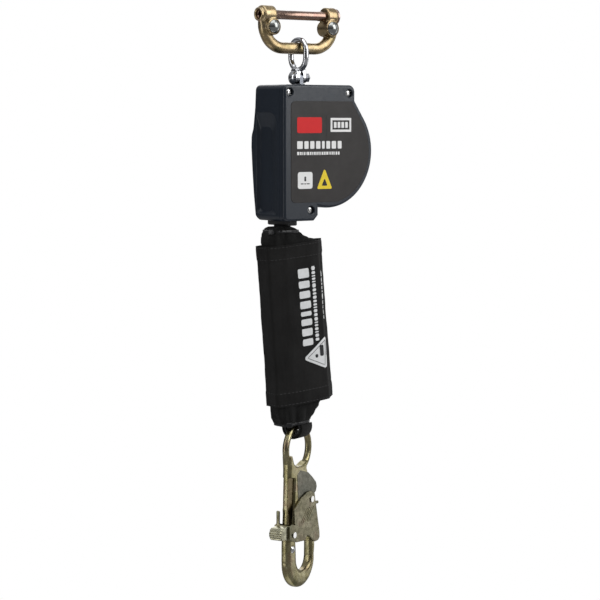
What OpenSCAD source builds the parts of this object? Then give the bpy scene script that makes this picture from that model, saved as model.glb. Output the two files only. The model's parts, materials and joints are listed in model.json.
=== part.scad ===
// Self retracting lifeline: a harness connector with a removable pin, a swivel ring, a compact
// housing that winds a 25 mm web on a sprung drum, a covered tear pack and a double action snap hook.
// The origin is the middle of the harness pin. +X runs along the pin, the label faces -Y, +Z is up.

/* [Connector] */
// Diameter of the harness pin in its bores
pin_d = 9; // [8.8:0.1:9.2]
// Diameter of the bow's round bar
bow_d = 11; // [10.6:0.1:11.4]
// Drop from the pin to the middle of the bow's bottom bar
bow_drop = 31; // [30.8:0.1:31.2]
// Travel of a lock button
button_travel = 3; // [2:0.5:3]

/* [Swivel ring] */
// Diameter of the ring's bar
ring_bar_d = 5.4; // [5.2:0.1:5.4]
// Drop from the pin to the clevis bolt
clevis_drop = 58.5; // [58.2:0.1:58.8]
// Diameter of the swivel stud
stud_d = 12; // [11:0.5:12]

/* [Housing] */
// Left side of the housing
case_left = -36.8; // [-37.4:0.2:-36.6]
// Top of the housing
case_top = -65.5; // [-65.7:0.1:-65.4]
// Bottom of the housing's straight block
case_bottom = -193.4; // [-194:0.2:-193]
// Radius of the round side of the housing
case_r = 53.6; // [53:0.2:54.2]
// Wall of the moulded shells
wall = 2.3; // [2:0.1:2.4]

/* [Drum] */
// Middle of the drum across the housing
drum_x = 16.3; // [16:0.1:16.6]
// Height of the middle of the drum
drum_z = -128; // [-128.4:0.2:-127.6]
// Length of web that pays out
payout = 1800; // [1790:10:1810]
// Turns of the drum over the whole payout
drum_turns = 8; // [8:1:8]
// Width of the web
web_w = 25; // [24:0.5:25]
// Thickness of the web
web_t = 1.7; // [1.5:0.1:1.8]

/* [Tear pack] */
// Lean of the pack from the vertical
pack_lean = 5; // [4.5:0.25:5.25]
// Width of the outer sleeve
sleeve_w = 70; // [68:0.5:70.5]
// Depth of the outer sleeve
sleeve_d = 31; // [30:0.5:32]

/* [Hook] */
// Turn of the hook's plane from the housing's face
hook_turn = 22; // [20:1:24]
// Thickness of the forged hook
hook_t = 9.5; // [9:0.1:9.6]
// Radius of the middle of the eye's bar
eye_r = 21.5; // [21.2:0.1:21.8]
// Radius of the bowl's inside
bowl_r = 13.5; // [13:0.25:13.5]

/* [Hidden] */
$fn = 64;

tiny = 0.01;          // overlap that joins touching shapes
run_gap = 0.05;       // radial gap of a running fit

// Connector
pin_r = pin_d / 2;
bore_r = pin_r + run_gap;
seat_r = pin_r - 0.2;             // waisted middle of the pin, where the harness rests
seat_half = 23.5;                 // half the length of the waisted middle
bow_r = bow_d / 2;
bow_arm_x = 41;                   // middle of each arm
bow_corner_r = 22;                // bend between arm and bottom bar
boss_r = 8.4;
boss_left = [-45, -31.2];         // ends of the left boss along X
boss_right = [30.7, 42.2];        // ends of the right boss along X
boss_nose_r = 6.3;
boss_nose_x = -48.2;
pin_end_x = -46;
pin_flange_r = 7.6;
pin_flange_t = 2.6;
button_x = 35;
button_z = -11.5;
button_r = 6.2;
button_stem_r = 3.5;
button_seat_y = -8.4;             // underside of a button's head at rest
collar_r = 7.8;
collar_front_y = -9;
collar_back_y = 7;
stem_pocket_y = 5.5;
dome_h = 2.8;

// Ring and clevis
ring_r = ring_bar_d / 2;
ring_bend_r = 11.5;
ring_top_z = -bow_drop + bow_r + 0.3 + ring_r - ring_bend_r;
ring_bottom_z = -39.4;
fork_half = 6;
fork_slot_half = 2.1;
fork_top_z = -49.5;
fork_slot_z = -53;
ear_r = 5.3;
clevis_z = -clevis_drop;
bolt_r = 2.5;
bolt_bore_r = bolt_r + run_gap;
bolt_head_r = 6.3;

// Swivel
stud_r = stud_d / 2;
tang_half = 1.95;
tang_r = 4.9;
stud_top_z = -64.2;               // shoulder of the stud under the fork
bush_wall = 1.5;
anchor_z = [-68.1, -79];          // top and bottom of the anchor block
anchor_half_x = 12.5;
washer_z = [-79.05, -80.05];
flange_z = [-80.25, -83];
stud_flange_r = 8.6;

// Housing
case_front = -26;
seam_y = -18;
corner_r = 5;
lug = [42.2, -72];                // middle of the round top corner
lug_r = 6.5;
tangent_a = 34.3;                 // where the straight flank meets the round side
block_right = 4.1;
block_chamfer = 5;
edge_step = 0.8;                  // each step of the softened front edge
screw_spots = [[-30.1, -72.7], [41.3, -73.4], [-4.8, -183.5]];
post_r = 4.2;
screw_r = 1.5;
screw_head_r = 2.9;
recess_r = 3.9;
recess_y = -23.2;
label_t = 0.4;
label_left = -29;
label_top = -81;
label_bottom = -176;
label_margin = 4.5;
label_corner = 5;
panel = [-91.7, -187];            // top and bottom of the recess in the left side
panel_depth = 3.4;
panel_front_y = -14;
panel_back_y = 17;

// Drum stack along Y, from the front
roll_r = payout / (2 * PI * drum_turns);
web_x = drum_x - roll_r;
web_half = web_w / 2;
hub_r = 14;
shaft_r = 4;
drum_flange_r = 42;
drum_flange_t = 2;
flange_in = web_half + 0.5;       // inner face of each drum flange
flange_out = flange_in + drum_flange_t;
front_plate_y = [-22.4, -20.4];
rear_plate_y = [15.5, 17.5];
ratchet_y = [-20.2, -16.2];
ratchet_r = 43;
tooth_tip_r = 35;
tooth_root_r = 39.5;
teeth = 12;
tooth_phase = 121.8;              // angle of one tooth's steep face
pawl_pivot_r = 26;
pawl_len = 18;
pawl_rest_a = 7.5;                // slope of a resting pawl from the tangent
pawl_y = [-19.8, -16.8];
pawl_pin_r = 1.6;
guide_r = 2.4;
rivet_r = 1.8;
anchor_rivets = [[-10, -73.5], [10, -73.5]];
ring_rivets = [[drum_x - 12, drum_z + 39.5], [drum_x - 34, drum_z - 23]];
guide_gap = web_t / 2 + 0.35 + guide_r;
guide_z = -177;
spring_y = [17.8, 21.4];          // front and back of the power spring's cup
cup_r = 24;
spring_turns = 7;
spring_step = 24;                 // points in a turn of the power spring
spring_pitch = 2.15;
spring_t = 0.9;
arbor_r = 5.6;

// Nozzle
nozzle_half_x = 5.2;
nozzle_half_y = 16.8;
nozzle_neck_x = 4;
nozzle_neck_y = 15;
nozzle_bottom = -198;
nozzle_top = case_bottom + 4.5;

// Pack, in a frame that leans about its own top
pack_pivot = [-8.2, 0, -214];
sleeve_top = -1;
sleeve_bottom = -155;
sleeve_wall = 1.6;
cover_half_x = sleeve_w / 2 - sleeve_wall - 0.6;
cover_half_y = sleeve_d / 2 - sleeve_wall - 0.6;
strand_top = drum_z;
strand_bottom = -220.2;
core_w = 46;
core_d = 24.6;
core_top = -6;
core_bottom = -150;
neck_x = -13.2;                   // middle of the gathered neck, under the nozzle
neck_z = [9, 13.6];
neck_half = [14.5, 13.6];
foot_x = -8;                      // middle of the gathered foot, over the hook
foot_z = [-172.5, -167];
foot_half = [15.5, 13.2];
tie_t = 1.2;

// Hook, in a frame whose origin is the middle of the eye
hook_at = [-1.6, 0, -414];
eye_bar_r = 3.3;
hook_half = hook_t / 2;
bowl_at = [6, -106.5];
heel_at = [0.5, -110];
heel_r = 25.5;
gate_at = [17, -51.6];
gate_in = 5.2;                    // inner face of a gate cheek from the hook's middle plane
gate_out = 6.6;
lever_at = [-20.5, -80.4];
lever_in = 7.1;
lever_out = 8.5;
pivot_r = 2;
loop_bore = 6.7;
loop_t = 2.4;
guard_t = 2.4;
loop_half = 10;
loop_top = 26.5;                  // height of the loop's end above the eye's bar
rivet_at = [-16.5, -95.5];
rivet_shank_r = 3;

// ---- helpers ----

// A rod along X, Y or Z
module rod_x(x0, x1, r) translate([x0, 0, 0]) rotate([0, 90, 0]) cylinder(h = x1 - x0, r = r);
module rod_y(y0, y1, r) translate([0, y1, 0]) rotate([90, 0, 0]) cylinder(h = y1 - y0, r = r);
module rod_z(z0, z1, r) translate([0, 0, z0]) cylinder(h = z1 - z0, r = r);

// A flat shape drawn in X and Z, or in Y and Z, given its thickness
module slab_y(y0, y1) translate([0, y1, 0]) rotate([90, 0, 0]) linear_extrude(y1 - y0) children();
module slab_x(x0, x1) translate([x0, 0, 0]) rotate([90, 0, 90]) linear_extrude(x1 - x0) children();

module box(low, high) translate(low) cube(high - low);

// A domed disc whose flat side is at y, bulging towards -Y
module dome_y(y, r, h) {
    ball_r = (r * r + h * h) / (2 * h);
    intersection() {
        translate([0, y + ball_r - h, 0]) sphere(r = ball_r);
        rod_y(y - h - 1, y, r);
    }
}

module at_drum() translate([drum_x, 0, drum_z]) children();

function polar(r, a) = [r * cos(a), r * sin(a)];

// Points along an arc from angle a0 to a1 in n steps
function arc(middle, r, a0, a1, n) = [for (i = [0 : n]) middle + polar(r, a0 + (a1 - a0) * i / n)];

// ---- connector ----

module bow_corner(side) {
    start = side > 0 ? -90 : 180;
    translate([side * (bow_arm_x - bow_corner_r), 0, bow_corner_r - bow_drop])
        rotate([90, 0, 0])
            rotate([0, 0, start])
                rotate_extrude(angle = 90) translate([bow_corner_r, 0]) circle(r = bow_r);
}

module connector_bow() color("darkgoldenrod") difference() {
    union() {
        rod_x(boss_left[0], boss_left[1], boss_r);
        rod_x(boss_right[0], boss_right[1], boss_r);
        rod_x(boss_nose_x, boss_left[0] + tiny, boss_nose_r);
        translate([0, 0, -bow_drop])
            rod_x(bow_corner_r - bow_arm_x, bow_arm_x - bow_corner_r, bow_r);
        for (side = [-1, 1]) {
            bow_corner(side);
            translate([side * bow_arm_x, 0, 0]) rod_z(bow_corner_r - bow_drop, 0, bow_r);
            translate([side * button_x, 0, button_z]) rod_y(collar_front_y, collar_back_y, collar_r);
        }
    }
    rod_x(boss_nose_x - 1, boss_right[1] + 1, bore_r);
    rod_x(boss_right[1], bow_arm_x + 10, pin_flange_r + 0.4);
    for (side = [-1, 1]) translate([side * button_x, 0, button_z]) {
        rod_y(collar_front_y - 1, button_seat_y + button_travel + 0.1, button_r + 0.2);
        rod_y(collar_front_y - 1, stem_pocket_y, button_stem_r + run_gap);
    }
}

module connector_pin() color("rosybrown") difference() {
    union() {
        rod_x(pin_end_x, -seat_half, pin_r);
        rod_x(-seat_half - tiny, seat_half + tiny, seat_r);
        rod_x(seat_half, boss_right[1] + 0.5, pin_r);
        rod_x(boss_right[1] + 0.4, boss_right[1] + 0.4 + pin_flange_t, pin_flange_r);
    }
    rod_x(pin_end_x - 1, pin_end_x + 5, pin_r - 1.7);
}

module lock_button(side) color("dimgray") translate([side * button_x, 0, button_z]) {
    rod_y(button_seat_y, 1, button_stem_r);
    rod_y(button_seat_y - 1.2, button_seat_y + tiny, button_r);
    dome_y(button_seat_y - 1.2 + tiny, button_r, dome_h);
}

module lock_button_left() lock_button(-1);
module lock_button_right() lock_button(1);

module lock_springs() color("silver")
    for (side = [-1, 1]) translate([side * button_x, 0, button_z]) difference() {
        rod_y(4.2, stem_pocket_y - run_gap, button_stem_r - 0.3);
        rod_y(3, stem_pocket_y + 1, button_stem_r - 1.3);
    }

// ---- swivel ring ----

module ring_bend(z, start)
    translate([0, 0, z])
        rotate([90, 0, 90])
            rotate([0, 0, start])
                rotate_extrude(angle = 180) translate([ring_bend_r, 0]) circle(r = ring_r);

module swivel_ring() color("lightgray") difference() {
    union() {
        ring_bend(ring_top_z, 0);
        ring_bend(ring_bottom_z, 180);
        for (side = [-1, 1]) translate([0, side * ring_bend_r, 0]) rod_z(ring_bottom_z, ring_top_z, ring_r);
        slab_x(-fork_half, fork_half) {
            translate([0, clevis_z]) circle(r = ear_r);
            translate([-ear_r, clevis_z]) square([2 * ear_r, fork_top_z - clevis_z]);
        }
    }
    box([-fork_slot_half, -ear_r - 1, clevis_z - ear_r - 1], [fork_slot_half, ear_r + 1, fork_slot_z]);
    translate([0, 0, clevis_z]) rod_x(-fork_half - 1, fork_half + 1, bolt_bore_r);
}

module clevis_bolt() color("silver") translate([0, 0, clevis_z]) {
    rod_x(-fork_half - 0.2, 12.3, bolt_r);
    rod_x(-fork_half - 1.6, -fork_half - 0.1, bolt_head_r);
    translate([-fork_half - 1.6 + tiny, 0, 0]) rotate([0, 0, -90]) dome_y(0, bolt_head_r, dome_h);
}

module clevis_washer() color("dimgray") translate([0, 0, clevis_z]) difference() {
    rod_x(fork_half + 0.1, fork_half + 1.1, 5);
    rod_x(fork_half, fork_half + 2, bolt_bore_r);
}

module clevis_nut() color("silver") translate([0, 0, clevis_z]) difference() {
    translate([fork_half + 1.15, 0, 0]) rotate([0, 90, 0]) cylinder(h = 4, r = 4.6, $fn = 6);
    rod_x(fork_half + 1, fork_half + 6, bolt_bore_r);
}

// ---- swivel ----

module swivel_stud() color("slategray") difference() {
    union() {
        slab_x(-tang_half, tang_half) {
            translate([0, clevis_z]) circle(r = tang_r);
            translate([-tang_r, stud_top_z - 0.1]) square([2 * tang_r, clevis_z - stud_top_z + 0.1]);
        }
        rod_z(flange_z[1] + tiny, stud_top_z, stud_r);
        rod_z(flange_z[1], flange_z[0], stud_flange_r);
    }
    translate([0, 0, clevis_z]) rod_x(-tang_half - 1, tang_half + 1, bolt_bore_r);
}

module swivel_bush() color("peru") difference() {
    rod_z(anchor_z[1] + 0.1, anchor_z[0] - 0.1, stud_r + bush_wall);
    rod_z(anchor_z[1] - 1, anchor_z[0] + 1, stud_r + run_gap);
}

module thrust_washer() color("goldenrod") difference() {
    rod_z(washer_z[1], washer_z[0], stud_flange_r);
    rod_z(washer_z[1] - 1, washer_z[0] + 1, stud_r + 2 * run_gap);
}

module anchor_block() color("gray") difference() {
    box([-anchor_half_x, front_plate_y[1] + run_gap, anchor_z[1]],
        [anchor_half_x, rear_plate_y[0] - run_gap, anchor_z[0]]);
    rod_z(anchor_z[1] - 1, anchor_z[0] + 1, stud_r + bush_wall + run_gap);
    rivet_holes(anchor_rivets, rivet_r + run_gap);
}

// ---- housing ----

// The housing's face, drawn clockwise in X and Z and pulled in by d all round
function face_points(d) = let (
    flank = [drum_x, drum_z] + polar(case_r - d, tangent_a),
    flank_x = lug[0] + lug_r - d,
    flank_z = flank[1] + (flank[0] - flank_x) / tan(tangent_a),
    block_x = block_right - d,
    round_end = -acos((block_x - drum_x) / (case_r - d)),
    chamfer = block_chamfer - d * 0.6
) concat(
    arc([case_left + corner_r, case_top - corner_r], corner_r - d, 180, 90, 6),
    arc(lug, lug_r - d, 90, 0, 8),
    [[flank_x, flank_z]],
    arc([drum_x, drum_z], case_r - d, tangent_a, round_end, 48),
    [[block_x, case_bottom + d + chamfer], [block_x - chamfer, case_bottom + d]],
    arc([case_left + corner_r, case_bottom + corner_r], corner_r - d, 270, 180, 6)
);

module face(d) polygon(face_points(d));

// The housing from the side, drawn in Y and Z: the back is crowned, with a raised middle
module side_profile(d) polygon([
    [seam_y - 10, case_top + 5], [20.2 - d, case_top + 5], [20.2 - d, -67], [21.5 - d, -87],
    [24.5 - d, -106.5], [27.5 - d, -113.5], [27.8 - d, -124], [26 - d, -148], [24 - d, -168],
    [21.2 - d, -188], [19 - d, -192], [19 - d, case_bottom - 5], [seam_y - 10, case_bottom - 5]
]);

module case_block(d) intersection() {
    slab_y(seam_y, 30) face(d);
    slab_x(case_left - 10, drum_x + case_r + 10) side_profile(d);
}

module screw_posts(y0, y1, r)
    for (spot = screw_spots) translate([spot[0], 0, spot[1]]) rod_y(y0, y1, r);

module rear_housing() color("darkslategray") difference() {
    union() {
        difference() {
            case_block(0);
            translate([0, -tiny, 0]) case_block(wall);
        }
        intersection() {
            case_block(wall / 2);
            union() {
                screw_posts(seam_y, 26, post_r);
                box([case_left + 1, seam_y, panel[1] - wall], [case_left + panel_depth + wall, 26, panel[0] + wall]);
            }
        }
    }
    box([case_left - 1, panel_front_y, panel[1]], [case_left + panel_depth, panel_back_y, panel[0]]);
    rod_z(case_top - wall - 2, case_top + 1, stud_r + 0.6);
    box([web_x - nozzle_neck_x - 0.1, -nozzle_neck_y - 0.1, case_bottom - 1],
        [web_x + nozzle_neck_x + 0.1, nozzle_neck_y + 0.1, nozzle_top + 1]);
    screw_posts(seam_y - 1, -5, screw_r + run_gap);
}

// The front edge is softened in steps
module cover_block() {
    slab_y(case_front + 2 * edge_step, seam_y - run_gap) face(0);
    slab_y(case_front + edge_step, case_front + 2 * edge_step) face(edge_step);
    slab_y(case_front, case_front + edge_step) face(2 * edge_step);
}

module front_cover() color("darkslategray") difference() {
    union() {
        difference() {
            cover_block();
            slab_y(case_front + wall, seam_y + 1) face(wall);
        }
        screw_posts(case_front + wall - 0.5, seam_y - run_gap, recess_r + 1.6);
    }
    slab_y(case_front - 1, case_front + label_t / 2 + run_gap) label_shape(-run_gap);
    screw_posts(case_front - 1, recess_y, recess_r);
    screw_posts(case_front - 1, seam_y + 1, screw_r + run_gap);
}

// A rectangle with round left corners, trimmed by the housing's face
module label_shape(d) intersection() {
    face(label_margin + d);
    polygon(concat(
        [[100, label_bottom + d]],
        arc([label_left + label_corner, label_bottom + label_corner], label_corner - d, 270, 180, 6),
        arc([label_left + label_corner, label_top - label_corner], label_corner - d, 180, 90, 6),
        [[100, label_top - d]]
    ));
}

module front_label() color("dimgray")
    slab_y(case_front - label_t / 2, case_front + label_t / 2) label_shape(0);

module cover_screws() color("silver")
    for (spot = screw_spots) translate([spot[0], 0, spot[1]]) difference() {
        union() {
            rod_y(recess_y - 0.9, recess_y - run_gap, screw_head_r);
            dome_y(recess_y - 0.9 + tiny, screw_head_r, 0.9);
            rod_y(recess_y - 0.1, -6, screw_r);
        }
        translate([0, recess_y - 0.8, 0]) rotate([90, 0, 0]) cylinder(h = 3, r = 1.4, $fn = 6);
    }

module web_nozzle() color("black") translate([web_x, 0, 0]) difference() {
    union() {
        box([-nozzle_half_x, -nozzle_half_y, nozzle_bottom],
            [nozzle_half_x, nozzle_half_y, case_bottom - run_gap]);
        box([-nozzle_neck_x, -nozzle_neck_y, case_bottom - 1], [nozzle_neck_x, nozzle_neck_y, nozzle_top]);
    }
    box([-web_t / 2 - 0.6, -web_half - 0.6, nozzle_bottom - 1],
        [web_t / 2 + 0.6, web_half + 0.6, nozzle_top + 1]);
}

// ---- frame inside the housing ----

module rivet_holes(spots, r)
    for (spot = spots) translate([spot[0], 0, spot[1]]) rod_y(-30, 30, r);

module plate_shape() polygon(concat(
    [[-anchor_half_x, anchor_z[0]], [anchor_half_x, anchor_z[0]]],
    arc([drum_x, drum_z], 16, 15, -60, 12),
    [[-13, -182], [-28, -182], [-28, -150], [drum_x - 38, drum_z], [-anchor_half_x, -84]]
));

module frame_plate(y) difference() {
    slab_y(y[0], y[1]) plate_shape();
    at_drum() rod_y(-30, 30, shaft_r + 1.5 + run_gap);
    rivet_holes(anchor_rivets, rivet_r + run_gap);
    rivet_holes(ring_rivets, rivet_r + run_gap);
    for (side = [-1, 1])
        translate([web_x + side * guide_gap, 0, guide_z]) rod_y(-30, 30, guide_r - 0.8 + run_gap);
}

module frame_front_plate() color("silver") frame_plate(front_plate_y);
module frame_rear_plate() color("silver") frame_plate(rear_plate_y);

module frame_rivets() color("gainsboro") {
    for (spot = anchor_rivets) translate([spot[0], 0, spot[1]]) {
        rod_y(front_plate_y[0] - 0.7, rear_plate_y[1] + 0.1, rivet_r);
        rod_y(front_plate_y[0] - 0.8, front_plate_y[0] - run_gap, rivet_r + 1.2);
        rod_y(rear_plate_y[1] + run_gap, rear_plate_y[1] + 0.5, rivet_r + 0.5);
    }
    for (spot = ring_rivets) translate([spot[0], 0, spot[1]]) {
        rod_y(front_plate_y[0] - 0.7, ratchet_y[1] - 0.5, rivet_r);
        rod_y(front_plate_y[0] - 0.8, front_plate_y[0] - run_gap, rivet_r + 1.2);
    }
}

module guide_bars() color("gainsboro")
    for (side = [-1, 1]) translate([web_x + side * guide_gap, 0, guide_z]) {
        rod_y(front_plate_y[0], rear_plate_y[1], guide_r - 0.8);
        rod_y(front_plate_y[1] + run_gap, rear_plate_y[0] - run_gap, guide_r);
    }

module shaft_bushes() color("peru") at_drum()
    for (y = [front_plate_y, rear_plate_y]) difference() {
        rod_y(y[0] + run_gap, y[1] - run_gap, shaft_r + 1.5);
        rod_y(y[0] - 1, y[1] + 1, shaft_r + run_gap);
    }

// Internal saw teeth: each ramp climbs to its root, then drops at the steep face
function tooth_points() = [
    for (i = [0 : teeth - 1]) let (a = tooth_phase + i * 360 / teeth)
        each [polar(tooth_root_r, a - 0.5), polar(tooth_tip_r, a + 0.2)]
];

module ratchet_ring() color("darkgray") difference() {
    at_drum() slab_y(ratchet_y[0], ratchet_y[1]) difference() {
        circle(r = ratchet_r, $fn = 120);
        polygon(tooth_points());
    }
    rivet_holes(ring_rivets, rivet_r + run_gap);
}

module spring_cup() color("dimgray") at_drum() difference() {
    rod_y(spring_y[0], spring_y[1], cup_r);
    rod_y(spring_y[0] + 0.6, spring_y[1] + 1, cup_r - 0.9);
    rod_y(spring_y[0] - 1, spring_y[1] + 1, arbor_r + 1);
}

// A flat strip wound outwards from the arbor
function spiral(extra) = [
    for (i = [0 : spring_turns * spring_step])
        polar(arbor_r + 1.4 + extra + spring_pitch * i / spring_step, i * 360 / spring_step)
];

function backwards(points) = [for (i = [len(points) - 1 : -1 : 0]) points[i]];

module power_spring() color("steelblue") at_drum()
    slab_y(spring_y[0] + 0.8, spring_y[1] - 0.2)
        polygon(concat(spiral(0), backwards(spiral(spring_t))));

// ---- drum ----

module drum_shaft() color("silver") at_drum() rod_y(front_plate_y[0] - 0.8, spring_y[1] - 0.2, shaft_r);

module shaft_clip() color("dimgray") at_drum() difference() {
    rod_y(front_plate_y[0] - 0.85, front_plate_y[0] - run_gap, shaft_r + 2.4);
    rod_y(front_plate_y[0] - 2, front_plate_y[0] + 1, shaft_r + 0.01);
}

module drum_hub() color("gainsboro") difference() {
    at_drum() rod_y(-flange_in + 0.02, flange_in - 0.02, hub_r);
    at_drum() rod_y(-30, 30, shaft_r + 0.02);
    translate([drum_x, 0, drum_z + hub_r - 2.6]) rod_y(-30, 30, 1.55);
}

module drum_flange(y0, y1) at_drum() difference() {
    rod_y(y0, y1, drum_flange_r);
    rod_y(y0 - 1, y1 + 1, shaft_r + 0.02);
    for (a = [30 : 60 : 330]) rotate([0, a, 0]) translate([0, 0, 30]) rod_y(y0 - 1, y1 + 1, 5);
    for (side = [-1, 1]) translate([0, 0, side * pawl_pivot_r]) rod_y(y0 - 1, y1 + 1, pawl_pin_r + 0.02);
}

module drum_front_flange() color("gainsboro") drum_flange(-flange_out, -flange_in);
module drum_rear_flange() color("gainsboro") drum_flange(flange_in, flange_out);

module web_anchor_pin() color("silver")
    translate([drum_x, 0, drum_z + hub_r - 2.6]) rod_y(-flange_in + 0.1, flange_in - 0.1, 1.5);

module spring_arbor() color("dimgray") at_drum() difference() {
    rod_y(spring_y[0] + 0.1, spring_y[1] - 0.2, arbor_r);
    rod_y(spring_y[0] - 1, spring_y[1] + 1, shaft_r + 0.02);
}

module web_roll() color("dimgray") at_drum() difference() {
    rod_y(-web_half, web_half, roll_r - web_t / 2 - 0.1);
    rod_y(-web_half - 1, web_half + 1, hub_r + 0.05);
}

module pawl_pins() color("silver") at_drum()
    for (side = [-1, 1]) translate([0, 0, side * pawl_pivot_r])
        rod_y(pawl_y[0] - 0.2, -flange_in - 0.1, pawl_pin_r);

module pawl_springs() color("silver") at_drum()
    for (side = [-1, 1]) translate([0, 0, side * pawl_pivot_r]) difference() {
        rod_y(pawl_y[1] + 0.1, -flange_out - 0.1, pawl_pin_r + 1.5);
        rod_y(pawl_y[1] - 1, -flange_out + 1, pawl_pin_r + 0.2);
    }

module pawl(turn) color("goldenrod") at_drum() rotate([0, turn, 0])
    translate([0, 0, pawl_pivot_r]) rotate([0, pawl_rest_a, 0]) difference() {
        slab_y(pawl_y[0], pawl_y[1]) {
            circle(r = 3.4);
            polygon([[0, -3.4], [0, 3.4], [-12, 2.4], [-pawl_len, 0.8], [-pawl_len, -0.4], [-13, -2.4]]);
        }
        rod_y(pawl_y[0] - 1, pawl_y[1] + 1, pawl_pin_r + run_gap);
    }

module pawl_one() pawl(0);
module pawl_two() pawl(180);

// ---- web and pack ----

module web_strand() color("dimgray")
    box([web_x - web_t / 2, -web_half, strand_bottom], [web_x + web_t / 2, web_half, strand_top]);

module in_pack() translate(pack_pivot) rotate([0, -pack_lean, 0]) children();

// A slab with fully rounded ends, drawn in X and Y
module oval(half_x, half_y) {
    if (half_x < half_y) rotate(90) oval(half_y, half_x);
    else {
        for (side = [-1, 1]) translate([side * (half_x - half_y), 0]) circle(r = half_y, $fn = 48);
        square([2 * (half_x - half_y), 2 * half_y], center = true);
    }
}

module tear_pack() color("black") in_pack()
    box([-core_w / 2, -core_d / 2, core_bottom], [core_w / 2, core_d / 2, core_top]);

module cover_section(x, z, half, h = 0.2)
    translate([x, 0, z]) linear_extrude(h) oval(half[0], half[1]);

module inner_cover() color("black") difference() {
    in_pack() {
        cover_section(neck_x, neck_z[0], neck_half, neck_z[1] - neck_z[0]);
        hull() {
            cover_section(neck_x, neck_z[0], neck_half);
            cover_section(-3, -2, [cover_half_x - 3, cover_half_y]);
            cover_section(0, -12, [cover_half_x, cover_half_y]);
        }
        cover_section(0, -146, [cover_half_x, cover_half_y], 135);
        hull() {
            cover_section(0, -146, [cover_half_x, cover_half_y]);
            cover_section(-3, -158, [cover_half_x - 3, cover_half_y]);
            cover_section(foot_x, foot_z[1], foot_half);
        }
        cover_section(foot_x, foot_z[0], foot_half, foot_z[1] - foot_z[0] + 0.1);
    }
    in_pack() box([-core_w / 2 - 0.3, -core_d / 2 - 0.3, core_bottom - 0.3],
        [core_w / 2 + 0.3, core_d / 2 + 0.3, core_top + 0.3]);
    box([web_x - web_t / 2 - 0.4, -web_half - 0.4, strand_bottom - 1.5],
        [web_x + web_t / 2 + 0.4, web_half + 0.4, -190]);
    loop_slot();
}

module tie_band(x, z, half, h) difference() {
    cover_section(x, z, [half[0] + tie_t, half[1] + tie_t], h);
    cover_section(x, z - 1, [half[0] + 0.1, half[1] + 0.1], h + 2);
}

module cover_tie_top() color("black") in_pack() {
    tie_band(neck_x, neck_z[0] + 1, neck_half, 3);
    box([neck_x - neck_half[0] - 3.2, -8, neck_z[0]], [neck_x - neck_half[0] - 0.1, -3, neck_z[0] + 4.5]);
}

module cover_tie_bottom() color("black") in_pack() {
    tie_band(foot_x, foot_z[0] + 1, foot_half, 3);
    box([foot_x - foot_half[0] - 3.2, -5, foot_z[0] + 0.5], [foot_x - foot_half[0] - 0.4, 0, foot_z[0] + 5]);
}

module outer_sleeve() color("black") in_pack() difference() {
    translate([0, 0, sleeve_bottom]) linear_extrude(sleeve_top - sleeve_bottom) oval(sleeve_w / 2, sleeve_d / 2);
    translate([0, 0, sleeve_bottom - 1]) linear_extrude(sleeve_top - sleeve_bottom + 2)
        oval(sleeve_w / 2 - sleeve_wall, sleeve_d / 2 - sleeve_wall);
}

// ---- hook ----

// The hook stands turned about Z. Its outline is drawn in X and Z about the middle of its eye.
module in_hook() translate(hook_at) rotate([0, 0, hook_turn]) children();

// The loop's profile across the eye's bar, pulled in by d
module loop_profile(r, top_half, top) translate([0, eye_r]) {
    circle(r = r);
    polygon([polar(r, 0), [top_half, top], [-top_half, top], polar(r, 180)]);
}

module loop_slot() in_hook() slab_x(-loop_half - 0.3, loop_half + 0.3)
    loop_profile(loop_bore + loop_t + 0.3, 4.4, 34);

module hook_loop() color("black") in_hook() slab_x(-loop_half, loop_half) difference() {
    loop_profile(loop_bore + loop_t, 4, loop_top);
    loop_profile(loop_bore, 0.4, 20);
}

module loop_guard() color("black") in_hook() slab_x(-loop_half, loop_half) difference() {
    loop_profile(loop_bore + loop_t + guard_t, 8, loop_top);
    loop_profile(loop_bore + loop_t + run_gap, 4.2, 29);
    translate([-20, eye_r + 4]) square(40);
}

module hook_spine() polygon([
    [-25, -106], [-24.6, -84], [-22.5, -60], [-21, -30], [-20.5, -8], [-12, -14], [-4, -30],
    [-11, -58], [-10, -80], [-7.8, -98], [-7.4, -106]
]);

module hook_shoulder() polygon([
    [-20.5, -8], [-21, -30], [-12, -64], [-6, -62], [2, -59], [17, -58.4], [24, -47], [28.5, -45],
    [29.5, -41], [28, -36.5], [20, -30], [13.5, -25.5], [11.5, -20], [14, -12]
]);

module hook_nose() polygon([
    [19.3, -106], [26, -106.4], [27.2, -98], [26.6, -90.5], [25, -87.6], [22.4, -86.8],
    [20, -89.5], [19.3, -97]
]);

module hook_outline() difference() {
    union() {
        hook_spine();
        hook_shoulder();
        hook_nose();
        translate(gate_at) circle(r = 6.8);
        difference() {
            translate(heel_at) circle(r = heel_r, $fn = 96);
            translate([-40, -105.5]) square(80);
        }
    }
    circle(r = eye_r - eye_bar_r);
    translate(bowl_at) circle(r = bowl_r);
}

// A hole or pin across the hook at a place in its outline
module across(place, y0, y1, r) translate([place[0], 0, place[1]]) rod_y(y0, y1, r);

module hook_body() color("darkkhaki") in_hook() difference() {
    union() {
        rotate([90, 0, 0]) rotate_extrude() translate([eye_r, 0]) circle(r = eye_bar_r);
        slab_y(-hook_half, hook_half) hook_outline();
    }
    for (place = [gate_at, lever_at]) across(place, -20, 20, pivot_r + run_gap);
    across(rivet_at, -20, 20, rivet_shank_r + run_gap);
    across(gate_at, -20, -2.5, 4.4);
    for (y = [[-hook_half - 1, -1.8], [1.8, hook_half + 1]])
        slab_y(y[0], y[1]) polygon([[-18.6, -27], [-12.8, -30], [-13.2, -74], [-21.2, -74], [-20, -50]]);
}

module two_sided(inner, outer) {
    slab_y(-outer, -inner) children();
    slab_y(inner, outer) children();
}

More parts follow.
